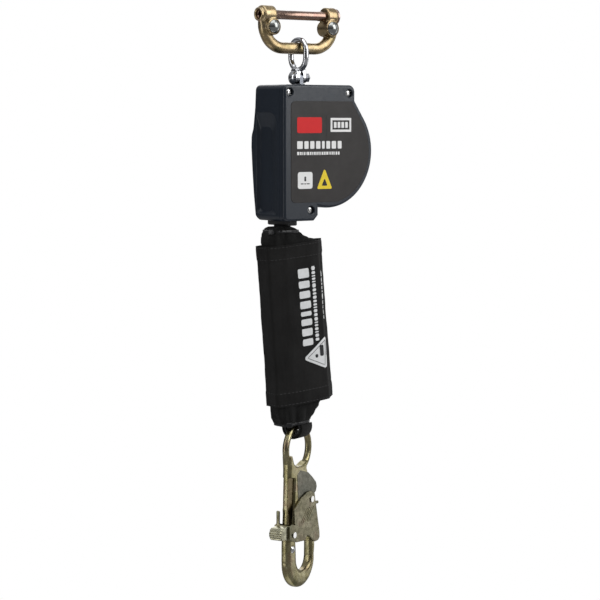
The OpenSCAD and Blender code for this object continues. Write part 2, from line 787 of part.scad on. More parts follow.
module gate() color("darkkhaki") in_hook() difference() {
    union() {
        two_sided(gate_in, gate_out) {
            polygon([
                [-17, -57], [-2, -47], [9, -43.4], [17, -43.6], [24, -46], [28.5, -56], [33, -86], [32.8, -92],
                [30, -94.4], [23, -94.8], [13, -88], [0, -81.5], [-12, -78], [-16, -70]
            ]);
        }
        slab_y(-gate_out, gate_out) polygon([[25.9, -52], [27.2, -53], [32.3, -84], [30.8, -84]]);
        translate([26.5, 0, -56]) rod_x(0, 6, 1.6);
    }
    across(gate_at, -20, 20, pivot_r + run_gap);
}

module pivot_pin(place, cheek, head_r) in_hook() {
    across(place, -cheek - 0.4, cheek + 0.4, pivot_r);
    across(place, -cheek - 1.1, -cheek - 0.1, head_r);
    across(place, cheek + 0.1, cheek + 1.1, head_r);
}

module gate_pin() color("silver") pivot_pin(gate_at, gate_out, 3);
module lever_pin() color("silver") pivot_pin(lever_at, lever_out, 2.9);

module gate_spring() color("silver") in_hook() difference() {
    across(gate_at, -4.7, -2.6, 4.2);
    across(gate_at, -6, -1, pivot_r + 0.2);
}

module lever_spring() color("silver") in_hook() difference() {
    across(lever_at, -lever_in + 0.1, -hook_half - 0.1, pivot_r + 1.5);
    across(lever_at, -lever_in - 1, -hook_half + 1, pivot_r + 0.2);
}

module hook_rivet() color("silver") in_hook() {
    across(rivet_at, -hook_half - 0.2, hook_half + 0.2, rivet_shank_r);
    for (turn = [0, 180]) rotate([0, 0, turn])
        translate([turn == 0 ? rivet_at[0] : -rivet_at[0], 0, rivet_at[1]])
            dome_y(-hook_half - 0.05, 3.7, 1.8);
}

module lock_lever() color("darkkhaki") in_hook() difference() {
    union() {
        two_sided(lever_in, lever_out) polygon([
            [-28.6, -70.5], [-24, -69.5], [-14, -72.5], [4, -79.5], [6, -84.5], [1, -89.5], [-15, -88.5],
            [-28.6, -84.5]
        ]);
        slab_y(-lever_out, lever_out)
            polygon([[-29, -84.5], [-27.4, -84.5], [-27.4, -70.5], [-29, -70.5]]);
        slab_y(3.5, 7.5) polygon([[-29, -71], [-27.4, -71], [-27.4, -57], [-29, -57]]);
        slab_y(-6.5, 6.5) {
            translate([-37.5, -77.5]) circle(r = 5);
            polygon([[-37.5, -71.8], [-28.5, -71.2], [-28.5, -84], [-37.5, -83.2], [-41, -80.5], [-41, -74.5]]);
        }
    }
    across(lever_at, -20, 20, pivot_r + run_gap);
    for (z = [-74, -77.5, -81]) box([-44, -9, z - 0.6], [-41.2, 9, z + 0.6]);
}

connector_bow();
connector_pin();
lock_button_left();
lock_button_right();
lock_springs();
swivel_ring();
clevis_bolt();
clevis_washer();
clevis_nut();
swivel_stud();
swivel_bush();
thrust_washer();
anchor_block();
rear_housing();
front_cover();
front_label();
cover_screws();
web_nozzle();
frame_front_plate();
frame_rear_plate();
frame_rivets();
guide_bars();
shaft_bushes();
ratchet_ring();
spring_cup();
power_spring();
drum_shaft();
drum_hub();
drum_front_flange();
drum_rear_flange();
web_anchor_pin();
spring_arbor();
web_roll();
pawl_pins();
pawl_springs();
shaft_clip();
pawl_one();
pawl_two();
web_strand();
tear_pack();
inner_cover();
outer_sleeve();
cover_tie_top();
cover_tie_bottom();
hook_loop();
loop_guard();
hook_body();
gate_pin();
gate_spring();
lever_pin();
lever_spring();
hook_rivet();
gate();
lock_lever();
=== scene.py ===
"""The looks of a self retracting lifeline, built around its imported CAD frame.

Lengths in this script are millimetres, as in the frame's own drawing, and MM turns them into metres.
+X runs along the harness pin, the label faces -Y and +Z is up.
"""
import json
import math

import bmesh
import bpy
from mathutils import Matrix, Vector, noise


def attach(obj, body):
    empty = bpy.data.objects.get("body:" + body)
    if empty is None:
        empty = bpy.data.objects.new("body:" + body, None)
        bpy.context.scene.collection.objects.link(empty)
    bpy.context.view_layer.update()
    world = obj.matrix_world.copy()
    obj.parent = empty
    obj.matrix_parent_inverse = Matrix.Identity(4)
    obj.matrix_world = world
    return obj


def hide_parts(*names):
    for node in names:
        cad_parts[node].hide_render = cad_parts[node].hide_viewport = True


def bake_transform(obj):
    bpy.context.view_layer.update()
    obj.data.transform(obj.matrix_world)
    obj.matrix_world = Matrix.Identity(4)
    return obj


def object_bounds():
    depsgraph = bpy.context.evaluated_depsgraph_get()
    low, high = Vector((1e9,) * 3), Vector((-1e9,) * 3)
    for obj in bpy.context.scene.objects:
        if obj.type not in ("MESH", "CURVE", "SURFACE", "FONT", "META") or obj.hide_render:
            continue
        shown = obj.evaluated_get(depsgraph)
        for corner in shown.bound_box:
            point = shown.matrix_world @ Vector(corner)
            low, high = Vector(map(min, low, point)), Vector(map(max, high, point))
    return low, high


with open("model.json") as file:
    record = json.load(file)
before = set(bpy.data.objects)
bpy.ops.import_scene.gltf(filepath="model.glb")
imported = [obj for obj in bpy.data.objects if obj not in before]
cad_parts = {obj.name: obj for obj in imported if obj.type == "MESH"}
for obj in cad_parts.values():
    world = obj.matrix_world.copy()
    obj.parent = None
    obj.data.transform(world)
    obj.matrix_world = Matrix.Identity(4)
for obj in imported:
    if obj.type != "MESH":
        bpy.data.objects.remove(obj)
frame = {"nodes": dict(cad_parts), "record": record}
cad_low, cad_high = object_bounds()

MM = 0.001
BODIES = frame["record"]["behaviour"]["bodies"]
BODY_OF = {node: body for body, nodes in BODIES.items() for node in nodes}


# ---- camera, lights and floor ----

AZIMUTH = -38
ELEVATION = 5
DISTANCE = 1.95
AIM = Vector((0.0012, -0.0009, -0.2705))
FOCAL = 122


def direction(azimuth, elevation):
    """From the object towards a camera or light: azimuth 0 is in front of the label, 90 on the right."""
    a, e = math.radians(azimuth), math.radians(elevation)
    return Vector((math.sin(a) * math.cos(e), -math.cos(a) * math.cos(e), math.sin(e)))


def put(name, data, azimuth, elevation, distance):
    """Puts a camera or light at a distance from the object, aimed at its middle."""
    thing = bpy.data.objects.new(name, data)
    bpy.context.scene.collection.objects.link(thing)
    back = direction(azimuth, elevation)
    thing.location = AIM + back * distance
    thing.rotation_euler = (-back).to_track_quat("-Z", "Y").to_euler()
    return thing


def make_camera():
    data = bpy.data.cameras.new("camera")
    data.lens = FOCAL
    data.clip_end = 50
    bpy.context.scene.camera = put("camera", data, AZIMUTH, ELEVATION, DISTANCE)


def softbox(name, azimuth, elevation, distance, size, watts):
    data = bpy.data.lights.new(name, "AREA")
    data.shape = "RECTANGLE"
    data.size, data.size_y = size
    data.energy = watts
    put(name, data, azimuth, elevation, distance)


bpy.context.scene.view_settings.view_transform = "Standard"
make_camera()
softbox("key_light", 30, 27, 1.7, (1.1, 1.5), 19)
softbox("left_light", -96, 10, 1.3, (0.25, 1.6), 4)
softbox("right_light", 82, 6, 1.5, (0.5, 1.6), 3.5)
softbox("top_light", -20, 78, 1.6, (1.4, 1.4), 13)
softbox("back_light", 150, 25, 1.8, (0.9, 1.4), 6)


# ---- world and materials ----

class Nodes:
    """The node tree of a world or a material, built a node at a time."""

    def __init__(self, owner):
        owner.use_nodes = True
        self.tree = owner.node_tree

    def plug(self, socket, value):
        if isinstance(value, bpy.types.NodeSocket):
            self.tree.links.new(value, socket)
        elif socket.type == "RGBA" and len(value) == 3:
            socket.default_value = (*value, 1)
        else:
            socket.default_value = value

    def add(self, kind, out=0, settings=(), **inputs):
        node = self.tree.nodes.new("ShaderNode" + kind)
        for key, value in dict(settings).items():
            setattr(node, key, value)
        for key, value in inputs.items():
            self.plug(node.inputs[int(key[1:]) if key[1:].isdigit() else key.replace("_", " ")], value)
        return node.outputs[out] if node.outputs else None

    def ramp(self, value, *stops):
        """A colour ramp from (position, colour) pairs."""
        node = self.tree.nodes.new("ShaderNodeValToRGB")
        line = node.color_ramp
        for i, (position, colour) in enumerate(stops):
            stop = line.elements[i] if i < 2 else line.elements.new(position)
            stop.position = position
            stop.color = (*colour, 1)
        self.plug(node.inputs["Fac"], value)
        return node.outputs["Color"]

    def split(self, vector):
        node = self.tree.nodes.new("ShaderNodeSeparateXYZ")
        self.plug(node.inputs[0], vector)
        return node.outputs

    def range(self, value, low, high, to_low, to_high):
        return self.add("MapRange", Value=value, From_Min=low, From_Max=high, To_Min=to_low, To_Max=to_high)


def make_world():
    """A pale studio: plain white to the camera, and bands of light and shade for the metal to mirror."""
    world = bpy.data.worlds.new("studio")
    bpy.context.scene.world = world
    n = Nodes(world)
    n.tree.nodes.clear()
    levels = ((0.40, 0.62), (0.475, 0.10), (0.56, 0.14), (0.64, 0.42), (0.8, 0.8))
    height = n.range(n.split(n.add("TexCoord"))["Z"], -1, 1, 0, 1)
    bands = n.ramp(height, (0.0, (0.6, 0.6, 0.61)), (1.0, (0.95, 0.97, 1.0)),
                   *((position, (level, level, level * 1.02)) for position, level in levels))
    studio = n.add("Background", Color=bands, Strength=0.52)
    plain = n.add("Background", Color=(1, 1, 1, 1), Strength=1.0)
    camera_ray = n.add("LightPath")
    n.add("OutputWorld", Surface=n.add("MixShader", i0=camera_ray, i1=studio, i2=plain))


make_world()


class Finish(Nodes):
    """A material and its node tree."""

    def __init__(self, name):
        self.material = bpy.data.materials.new(name)
        super().__init__(self.material)
        self.shader = self.tree.nodes["Principled BSDF"]
        self.place = self.tree.nodes.new("ShaderNodeTexCoord")

    def spot(self, uv=False):
        return self.place.outputs["UV" if uv else "Object"]

    def noise(self, scale, detail=4, rough=0.55, stretch=None, uv=False):
        place = self.spot(uv)
        if stretch:
            place = self.add("Mapping", Vector=place, Scale=stretch)
        return self.add("TexNoise", Vector=place, Scale=scale, Detail=detail, Roughness=rough)

    def math(self, what, a, b):
        return self.add("Math", settings={"operation": what}, i0=a, i1=b)

    def sine(self, value, turns):
        return self.add("Math", settings={"operation": "SINE"}, i0=self.math("MULTIPLY", value, turns))

    def mix(self, share, a, b):
        return self.add("Mix", 2, {"data_type": "RGBA"}, i0=share, i6=a, i7=b)

    def edges(self, low, high):
        """1 on worn convex edges, 0 elsewhere."""
        return self.range(self.add("NewGeometry", out=7), low, high, 0, 1)

    def bump(self, height, strength, distance_mm, **under):
        """A bump, over another one where Normal is given."""
        return self.add("Bump", Strength=strength, Distance=distance_mm * MM, Height=height, **under)

    def done(self, colour, roughness, metallic=0.0, normal=None, **extra):
        extra.update(Base_Color=colour, Roughness=roughness, Metallic=metallic)
        if normal is not None:
            extra["Normal"] = normal
        for key, value in extra.items():
            self.plug(self.shader.inputs[key.replace("_", " ")], value)
        return self.material


def zinc(name, light, gold, olive, rose, roughness, grain):
    """Yellow zinc plate over a forging: patches of gold, olive and rose, and pale rubbed edges."""
    f = Finish(name)
    half_light = tuple(0.5 * a + 0.5 * b for a, b in zip(gold, light))
    patches = f.noise(80, detail=2, rough=0.5)
    tone = f.ramp(patches, (0.30, olive), (0.70, rose), (0.44, gold), (0.56, half_light))
    cloud = f.noise(34, detail=2)
    tone = f.mix(f.range(cloud, 0.35, 0.65, 0.15, 0.75), tone, gold)
    speck = f.range(f.noise(900, detail=2), 0.62, 0.7, 0.0, 0.35)
    tone = f.mix(speck, tone, tuple(c * 0.45 for c in olive))
    tone = f.mix(f.edges(0.53, 0.62), tone, light)
    pits = f.bump(f.noise(700, detail=3), grain * 0.5, 0.12)
    skin = f.bump(f.noise(160, detail=4), grain, 0.35, Normal=pits)
    gloss = f.range(f.noise(260, detail=3), 0.3, 0.7, roughness - 0.07, roughness + 0.1)
    return f.done(tone, gloss, 1.0, skin)


def bright_metal(name, colour, roughness, brushed=None):
    """Plated or bare steel with faint smears, and brush lines along one axis where they are asked for."""
    f = Finish(name)
    cloud = f.noise(120, detail=3)
    tone = f.mix(f.range(cloud, 0.4, 0.7, 0, 0.35), colour, tuple(c * 0.62 for c in colour))
    lines = f.noise(900, detail=2, stretch=brushed or (1, 1, 1))
    gloss = f.range(lines, 0.3, 0.7, max(0.03, roughness * 0.7), roughness * 1.35)
    return f.done(tone, gloss, 1.0, f.bump(lines, 0.12 if brushed else 0.05, 0.05))


def moulded(name, colour, roughness):
    """Moulded plastic: fine spark texture, faint cloudiness and lighter rubbed edges."""
    f = Finish(name)
    cloud = f.noise(40, detail=3)
    tone = f.mix(f.range(cloud, 0.35, 0.7, 0, 0.5), colour, tuple(c * 1.35 for c in colour))
    worn = f.math("MULTIPLY", f.edges(0.53, 0.6), 0.25)
    tone = f.mix(worn, tone, tuple(c * 2.6 + 0.01 for c in colour))
    spark = f.noise(2600, detail=2)
    gloss = f.range(f.noise(300, detail=4), 0.3, 0.7, roughness - 0.05, roughness + 0.07)
    return f.done(tone, gloss, 0.0, f.bump(spark, 0.25, 0.05), Specular_IOR_Level=0.45)


def woven(name, colour, pitch_mm, sheen):
    """Plain weave from the piece's UVs, in metres along the cloth, with lint and faded highs."""
    f = Finish(name)
    turns = math.tau / (pitch_mm * MM)
    across, along = (f.sine(axis, turns) for axis in list(f.split(f.spot(uv=True)))[:2])
    weave = f.math("MULTIPLY", across, along)
    slub = f.noise(420, detail=3, stretch=(1, 0.12, 1), uv=True)
    cloth = f.math("ADD", f.range(weave, -1, 1, 0, 0.7), f.range(slub, 0.3, 0.7, 0, 0.3))
    lint = f.range(f.noise(1900, detail=1, uv=True), 0.68, 0.74, 0.0, 0.5)
    wash = f.noise(28, detail=4, uv=True)
    tone = f.mix(f.range(wash, 0.35, 0.7, 0, 1), colour, tuple(c * 1.6 + 0.002 for c in colour))
    tone = f.mix(f.range(cloth, 0.3, 1, 0, 0.6), tone, tuple(c * 2.1 + 0.004 for c in colour))
    tone = f.mix(lint, tone, tuple(c * 4 + 0.02 for c in colour))
    folds = f.bump(f.noise(90, detail=4, uv=True), 0.35, 0.5)
    normal = f.bump(cloth, 0.6, 0.14, Normal=folds)
    return f.done(tone, 0.92, 0.0, normal, Sheen_Weight=sheen, Sheen_Roughness=0.5, Specular_IOR_Level=0.1)


def strap(name, colour, rib_mm, fixed=False):
    """Webbing with chevron picks and raised ends, from UVs in metres, or fixed to the frame's Y and Z."""
    f = Finish(name)
    axes = f.split(f.spot(uv=not fixed))
    across, along = (axes[1], axes[2]) if fixed else (axes[0], axes[1])
    fold = f.math("PINGPONG", across, 4 * MM)
    slant = f.math("ADD", along, f.math("MULTIPLY", fold, 0.7))
    picks = f.sine(slant, math.tau / (rib_mm * MM))
    ends = f.sine(across, math.tau / (1.15 * MM))
    cloth = f.math("ADD", f.range(picks, -1, 1, 0, 0.6), f.range(ends, -1, 1, 0, 0.4))
    wash = f.range(f.noise(60, detail=3), 0.35, 0.7, 0, 0.6)
    tone = f.mix(f.range(cloth, 0.2, 1, 0, 1), tuple(c * 0.6 for c in colour), tuple(c * 1.7 for c in colour))
    tone = f.mix(wash, tone, tuple(c * 1.9 for c in colour))
    return f.done(tone, 0.8, 0.0, f.bump(cloth, 0.7, 0.2), Sheen_Weight=0.25, Specular_IOR_Level=0.3)


def ink(name, colour, roughness=0.55, cloth=False):
    """Printed ink, slightly worn, on film or on cloth."""
    f = Finish(name)
    wear = f.range(f.noise(260 if cloth else 150, detail=5), 0.3, 0.75, 0, 0.28 if cloth else 0.14)
    tone = f.mix(wear, colour, tuple(c * 0.55 for c in colour))
    grain = f.noise(1500 if cloth else 700, detail=2)
    return f.done(tone, roughness, 0.0, f.bump(grain, 0.5 if cloth else 0.1, 0.08), Specular_IOR_Level=0.3)


def film():
    """The label's matt film."""
    f = Finish("label_film")
    cloud = f.noise(55, detail=3)
    tone = f.mix(f.range(cloud, 0.3, 0.7, 0, 1), (0.024, 0.022, 0.021), (0.033, 0.030, 0.029))
    gloss = f.range(f.noise(240, detail=4), 0.3, 0.7, 0.40, 0.5)
    return f.done(tone, gloss, 0.0, f.bump(f.noise(1700, detail=2), 0.12, 0.04), Specular_IOR_Level=0.25)


# Light, gold, olive and rose tones, roughness and grain
ZINCS = {
    "zinc_gold": ((0.52, 0.44, 0.29), (0.33, 0.245, 0.13), (0.19, 0.175, 0.085), (0.34, 0.215, 0.165),
                  0.3, 0.14),
    "pin_steel": ((0.42, 0.31, 0.26), (0.27, 0.18, 0.14), (0.18, 0.13, 0.105), (0.30, 0.18, 0.155),
                  0.2, 0.08),
    "hook_zinc": ((0.47, 0.45, 0.31), (0.245, 0.215, 0.105), (0.145, 0.155, 0.075), (0.26, 0.19, 0.125),
                  0.28, 0.12),
    "gate_zinc": ((0.34, 0.32, 0.23), (0.165, 0.15, 0.09), (0.10, 0.115, 0.075), (0.19, 0.14, 0.10),
                  0.32, 0.2),
    "pad_zinc": ((0.44, 0.43, 0.32), (0.27, 0.255, 0.17), (0.18, 0.19, 0.125), (0.26, 0.22, 0.16),
                 0.3, 0.15),
    # Painted shade: a dark finish for the floors of the hook's channel, standing for the shade and dark
    # reflection in the recess
    "channel_shade_zinc": ((0.13, 0.10, 0.045), (0.075, 0.055, 0.022), (0.05, 0.045, 0.02), (0.10, 0.055, 0.028),
                  0.3, 0.1),
    "cover_zinc": ((0.16, 0.155, 0.12), (0.085, 0.085, 0.065), (0.06, 0.065, 0.05), (0.10, 0.08, 0.06),
                   0.34, 0.2),
}
# Colour and roughness, and the stretch of any brush lines
METALS = {
    "button_steel": ((0.30, 0.31, 0.30), 0.2), "chrome": ((0.60, 0.61, 0.63), 0.14),
    "spring_steel": ((0.60, 0.60, 0.60), 0.25), "screw_steel": ((0.60, 0.60, 0.59), 0.2),
    "stud_steel": ((0.16, 0.17, 0.19), 0.3), "frame_steel": ((0.62, 0.62, 0.64), 0.3, (1, 1, 0.05)),
    "drum_alloy": ((0.66, 0.66, 0.68), 0.38), "bronze": ((0.62, 0.40, 0.20), 0.36),
}
# Colour and roughness
PLASTICS = {
    "case": ((0.0072, 0.0120, 0.0198), 0.34), "nozzle": ((0.010, 0.010, 0.011), 0.42),
    "tie_plastic": ((0.008, 0.008, 0.009), 0.35),
}
M = {
    **{name: zinc(name, *look) for name, look in ZINCS.items()},
    **{name: bright_metal(name, *look) for name, look in METALS.items()},
    **{name: moulded(name, *look) for name, look in PLASTICS.items()},
    "label": film(),
    "pack_fabric": woven("pack_fabric", (0.0078, 0.0076, 0.0074), 0.75, 0.05),
    "lining": woven("lining", (0.0068, 0.0068, 0.0066), 0.6, 0.04),
    "webbing": strap("webbing", (0.022, 0.022, 0.023), 1.7),
    "live_webbing": strap("live_webbing", (0.022, 0.022, 0.023), 1.7, fixed=True),
    "thread": ink("thread", (0.035, 0.035, 0.036), 0.7, cloth=True),
    "white_ink": ink("white_ink", (0.80, 0.80, 0.79)),
    "red_ink": ink("red_ink", (0.62, 0.012, 0.014)),
    "yellow_ink": ink("yellow_ink", (0.80, 0.60, 0.03)),
    "dark_ink": ink("dark_ink", (0.02, 0.02, 0.022)),
    "cloth_ink": ink("cloth_ink", (0.72, 0.73, 0.73), 0.7, cloth=True),
}


def pale_floor():
    """A white sweep, lit a little from within so that it fades into the white behind it."""
    f = Finish("pale_floor")
    tone = f.mix(f.noise(3, detail=2), (0.80, 0.80, 0.80), (0.84, 0.84, 0.84))
    return f.done(tone, 0.7, Emission_Color=(1, 1, 1, 1), Emission_Strength=0.5, Specular_IOR_Level=0.1)


def make_floor():
    mesh = bpy.data.meshes.new("floor")
    edge = 1.2
    height = cad_low.z - 2.0
    corners = [(-edge, -edge, height), (edge, -edge, height), (edge, edge, height), (-edge, edge, height)]
    mesh.from_pydata(corners, [], [(0, 1, 2, 3)])
    mesh.materials.append(pale_floor())
    floor = bpy.data.objects.new("floor", mesh)
    bpy.context.scene.collection.objects.link(floor)


make_floor()


# ---- mesh helpers ----

def lerp(a, b, t):
    return a + (b - a) * t


def smooth_step(t):
    t = min(1.0, max(0.0, t))
    return t * t * (3 - 2 * t)


def link(name, mesh, finish):
    mesh.materials.clear()
    mesh.materials.append(M[finish])
    piece = bpy.data.objects.new(name, mesh)
    bpy.context.scene.collection.objects.link(piece)
    return piece


def apply_modifiers(piece):
    shape = piece.evaluated_get(bpy.context.evaluated_depsgraph_get())
    mesh = bpy.data.meshes.new_from_object(shape)
    piece.modifiers.clear()
    piece.data = mesh
    return piece


def shade(piece, angle=32, weighted=False):
    mesh = piece.data
    mesh.shade_smooth()
    mesh.set_sharp_from_angle(angle=math.radians(angle))
    if weighted:
        normals = piece.modifiers.new("weighted", "WEIGHTED_NORMAL")
        normals.keep_sharp = True
        normals.weight = 100
    return piece


class Shape:
    """A mesh being put together from lofts, lathes and slabs, in millimetres."""

    def __init__(self):
        self.bm = bmesh.new()
        self.uv = self.bm.loops.layers.uv.new("cloth")

    def loft(self, rings, caps=True, uvs=None):
        """Skins rings with equal numbers of points. uvs gives a (u, v) pair in mm for ring i, point j."""
        made = [[self.bm.verts.new(p) for p in ring] for ring in rings]
        count = len(made[0])
        for i in range(len(made) - 1):
            for j in range(count):
                k = (j + 1) % count
                face = self.bm.faces.new((made[i][j], made[i][k], made[i + 1][k], made[i + 1][j]))
                if uvs:
                    places = ((i, j), (i, j + 1), (i + 1, j + 1), (i + 1, j))
                    for loop, place in zip(face.loops, places):
                        loop[self.uv].uv = Vector(uvs(*place)) * MM
        if caps:
            self.bm.faces.new(list(reversed(made[0])))
            self.bm.faces.new(made[-1])
        return made

    def lathe(self, axis, centre, profile, sides=48):
        """Turns (along, radius) pairs about an axis. The profile starts and ends on the axis, or closes."""
        on_axis = profile[0][1] == 0
        rings = [[Vector(centre) + axis_point(axis, along, *flat) for flat in circle(radius, sides)]
                 for along, radius in (profile[1:-1] if on_axis else profile)]
        if on_axis:
            made = self.loft(rings, caps=False)
            for end, ring in ((profile[0], made[0]), (profile[-1], made[-1])):
                tip = self.bm.verts.new(Vector(centre) + axis_point(axis, end[0], 0, 0))
                for j in range(sides):
                    self.bm.faces.new((ring[j], ring[(j + 1) % sides], tip))
        else:
            self.tube(rings)
        return self

    def tube(self, rings, uvs=None):
        """Lofts rings that run back to the first one."""
        self.loft(rings + [rings[0]], caps=False, uvs=uvs)
        bmesh.ops.remove_doubles(self.bm, verts=self.bm.verts, dist=1e-5)
        return self

    def slab(self, outline, axis, low, high, bevel=0.0):
        """An outline drawn in the other two axes, given its thickness, with bevelled rims."""
        levels = [(low + bevel, 0), (high - bevel, 0)]
        if bevel:
            levels = [(low, bevel), *levels, (high, bevel)]
        rings = [[axis_point(axis, along, *p) for p in inset(outline, d)] for along, d in levels]
        self.loft(rings)
        return self

    def rod(self, axis, centre, low, high, radius, bevel=0.4, sides=32):
        self.lathe(axis, centre, rounded_rod(low, high, radius, bevel), sides)
        return self

    def sweep(self, path, section, closed=False, up=(0, 1, 0)):
        """Carries a section, (side, up) pairs, along a path."""
        rings = swept(path, section, closed, up)
        if closed:
            return self.tube(rings)
        self.loft(rings)
        return self

    def ribbon(self, path, half_width, thick, up=(0, 1, 0)):
        """Webbing carried along a path with its width along up, its UVs in metres along the cloth."""
        section = round_box(thick / 2, half_width, thick * 0.4, steps=2)
        run = [0.0]
        for before, after in zip(path, path[1:]):
            run.append(run[-1] + (Vector(after) - Vector(before)).length)
        rings = swept(path, section, False, up)
        self.loft(rings, uvs=lambda i, j: (section[j % len(section)][1], run[i]))
        return run[-1]

    def mesh(self, place=None):
        bmesh.ops.recalc_face_normals(self.bm, faces=self.bm.faces)
        self.bm.transform(Matrix.Scale(MM, 4))
        if place:
            self.bm.transform(place)
        mesh = bpy.data.meshes.new("shape")
        self.bm.to_mesh(mesh)
        self.bm.free()
        return mesh


def swept(path, section, closed, up):
    """The rings of a section, (side, up) pairs, carried along a path."""
    rings = []
    last = len(path) - 1
    for i, p in enumerate(path):
        before = path[(i - 1) % len(path)] if closed or i else path[i]
        after = path[(i + 1) % len(path)] if closed or i < last else path[i]
        forward = (Vector(after) - Vector(before)).normalized()
        side = forward.cross(Vector(up)).normalized()
        top = side.cross(forward)
        rings.append([Vector(p) + side * a + top * b for a, b in section])
    return rings


def axis_point(axis, along, a, b):
    """A point from its place along an axis and its place in the plane across it."""
    if axis == "x":
        return Vector((along, a, b))
    if axis == "y":
        return Vector((a, along, b))
    return Vector((a, b, along))


def quarter_turn(steps):
    return [math.pi / 2 * i / steps for i in range(steps + 1)]


def rounded_rod(low, high, radius, bevel):
    """A lathe profile for a rod with rounded rims."""
    rim = [(bevel * (1 - math.cos(a)), radius - bevel * (1 - math.sin(a))) for a in quarter_turn(4)]
    near = [(low + d, r) for d, r in rim]
    far = [(high - d, r) for d, r in reversed(rim)]
    return [(low, 0), *near, *far, (high, 0)]


def dome(base, sign, radius, height, steps):
    """Lathe pairs over a dome, from its rim to its crown on the axis."""
    ball = (radius * radius + height * height) / (2 * height)
    pairs = []
    for a in quarter_turn(steps):
        r = radius * math.cos(a)
        pairs.append((base + sign * (math.sqrt(ball * ball - r * r) - ball + height), r))
    return pairs[:-1] + [(base + sign * height, 0)]


def inset(outline, d):
    """A closed outline pulled in by d, each corner along its own bisector."""
    if not d:
        return list(outline)
    count = len(outline)
    turn = sum(outline[i][0] * outline[(i + 1) % count][1] - outline[(i + 1) % count][0] * outline[i][1]
               for i in range(count))
    sign = 1 if turn > 0 else -1
    moved = []
    for i in range(count):
        before, here, after = (Vector(outline[(i + k) % count]) for k in (-1, 0, 1))
        into, away = (here - before).normalized(), (after - here).normalized()
        left = Vector((-into.y, into.x)) * sign
        next_left = Vector((-away.y, away.x)) * sign
        half = (left + next_left)
        reach = max(half.length_squared / 2, 0.4)
        moved.append(tuple(here + half * d / reach))
    return moved


def arc(middle, radius, start, end, steps):
    """Points along an arc, its angles in degrees."""
    turns = [math.radians(lerp(start, end, i / steps)) for i in range(steps + 1)]
    return [(middle[0] + radius * math.cos(a), middle[1] + radius * math.sin(a)) for a in turns]


def circle(radius, sides):
    turns = [math.tau * i / sides for i in range(sides)]
    return [(radius * math.cos(a), radius * math.sin(a)) for a in turns]


def squircle(half_a, half_b, power, sides):
    """A section between an ellipse and a box."""
    points = []
    for i in range(sides):
        a = math.tau * i / sides
        c, s = math.cos(a), math.sin(a)
        points.append((half_a * math.copysign(abs(c) ** (2 / power), c),
                       half_b * math.copysign(abs(s) ** (2 / power), s)))
    return points


def round_box(half_a, half_b, radius, centre=(0, 0), steps=5):
    """A rectangle with round corners."""
    a, b = half_a - radius, half_b - radius
    points = []
    for (x, y), start in (((a, b), 0), ((-a, b), 90), ((-a, -b), 180), ((a, -b), 270)):
        points += arc((centre[0] + x, centre[1] + y), radius, start, start + 90, steps)
    return points


def forged(name, shape, finish, voxel, rounds, ripple=0.0):
    """Melts overlapping solids into one skin with soft fillets, as forging does."""
    piece = link(name, shape.mesh(), finish)
    remesh = piece.modifiers.new("melt", "REMESH")
    remesh.mode = "VOXEL"
    remesh.voxel_size = voxel * MM
    soft = piece.modifiers.new("soften", "SMOOTH")
    soft.factor = 0.5
    soft.iterations = rounds
    apply_modifiers(piece)
    if ripple:
        mesh = piece.data
        moves = [v.normal * noise.noise(v.co * 140) * ripple * MM for v in mesh.vertices]
        for v, move in zip(mesh.vertices, moves):
            v.co += move
    piece.data.materials.clear()
    piece.data.materials.append(M[finish])
    return piece


def carve(piece, *cutters, join=False):
    """Machines a piece with closed cutter shapes, or joins them to it."""
    for shape in cutters:
        tool = bpy.data.objects.new("tool", shape.mesh() if isinstance(shape, Shape) else shape)
        bpy.context.scene.collection.objects.link(tool)
        cut = piece.modifiers.new("cut", "BOOLEAN")
        cut.operation = "UNION" if join else "DIFFERENCE"
        cut.solver = "EXACT"
        cut.object = tool
        apply_modifiers(piece)
        bpy.data.objects.remove(tool)
    return piece


def stand_for(piece, *nodes):
    """Puts a new piece in place of CAD nodes, riding on their body."""
    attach(piece, BODY_OF[nodes[0]])
    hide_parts(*nodes)
    return piece


def stand_in(name, shape, finish, angle, node, place=None):
    """Makes a shape into a piece and puts it in place of a CAD node."""
    return stand_for(shade(link(name, shape.mesh(place), finish), angle), node)


def add_piece(piece, node):
    """Adds a detail that rides with a CAD node's body."""
    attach(piece, BODY_OF[node])
    return piece


def add_detail(name, shape, finish, angle, node, place=None):
    return add_piece(shade(link(name, shape.mesh(place), finish), angle), node)


# ---- connector ----

PIN_R = 4.5
BORE_R = PIN_R + 0.05
BOW_DROP = 31
BOW_ARM_X = 41
BOW_CORNER_R = 22
BUTTON_AT = (35, 0, -11.5)


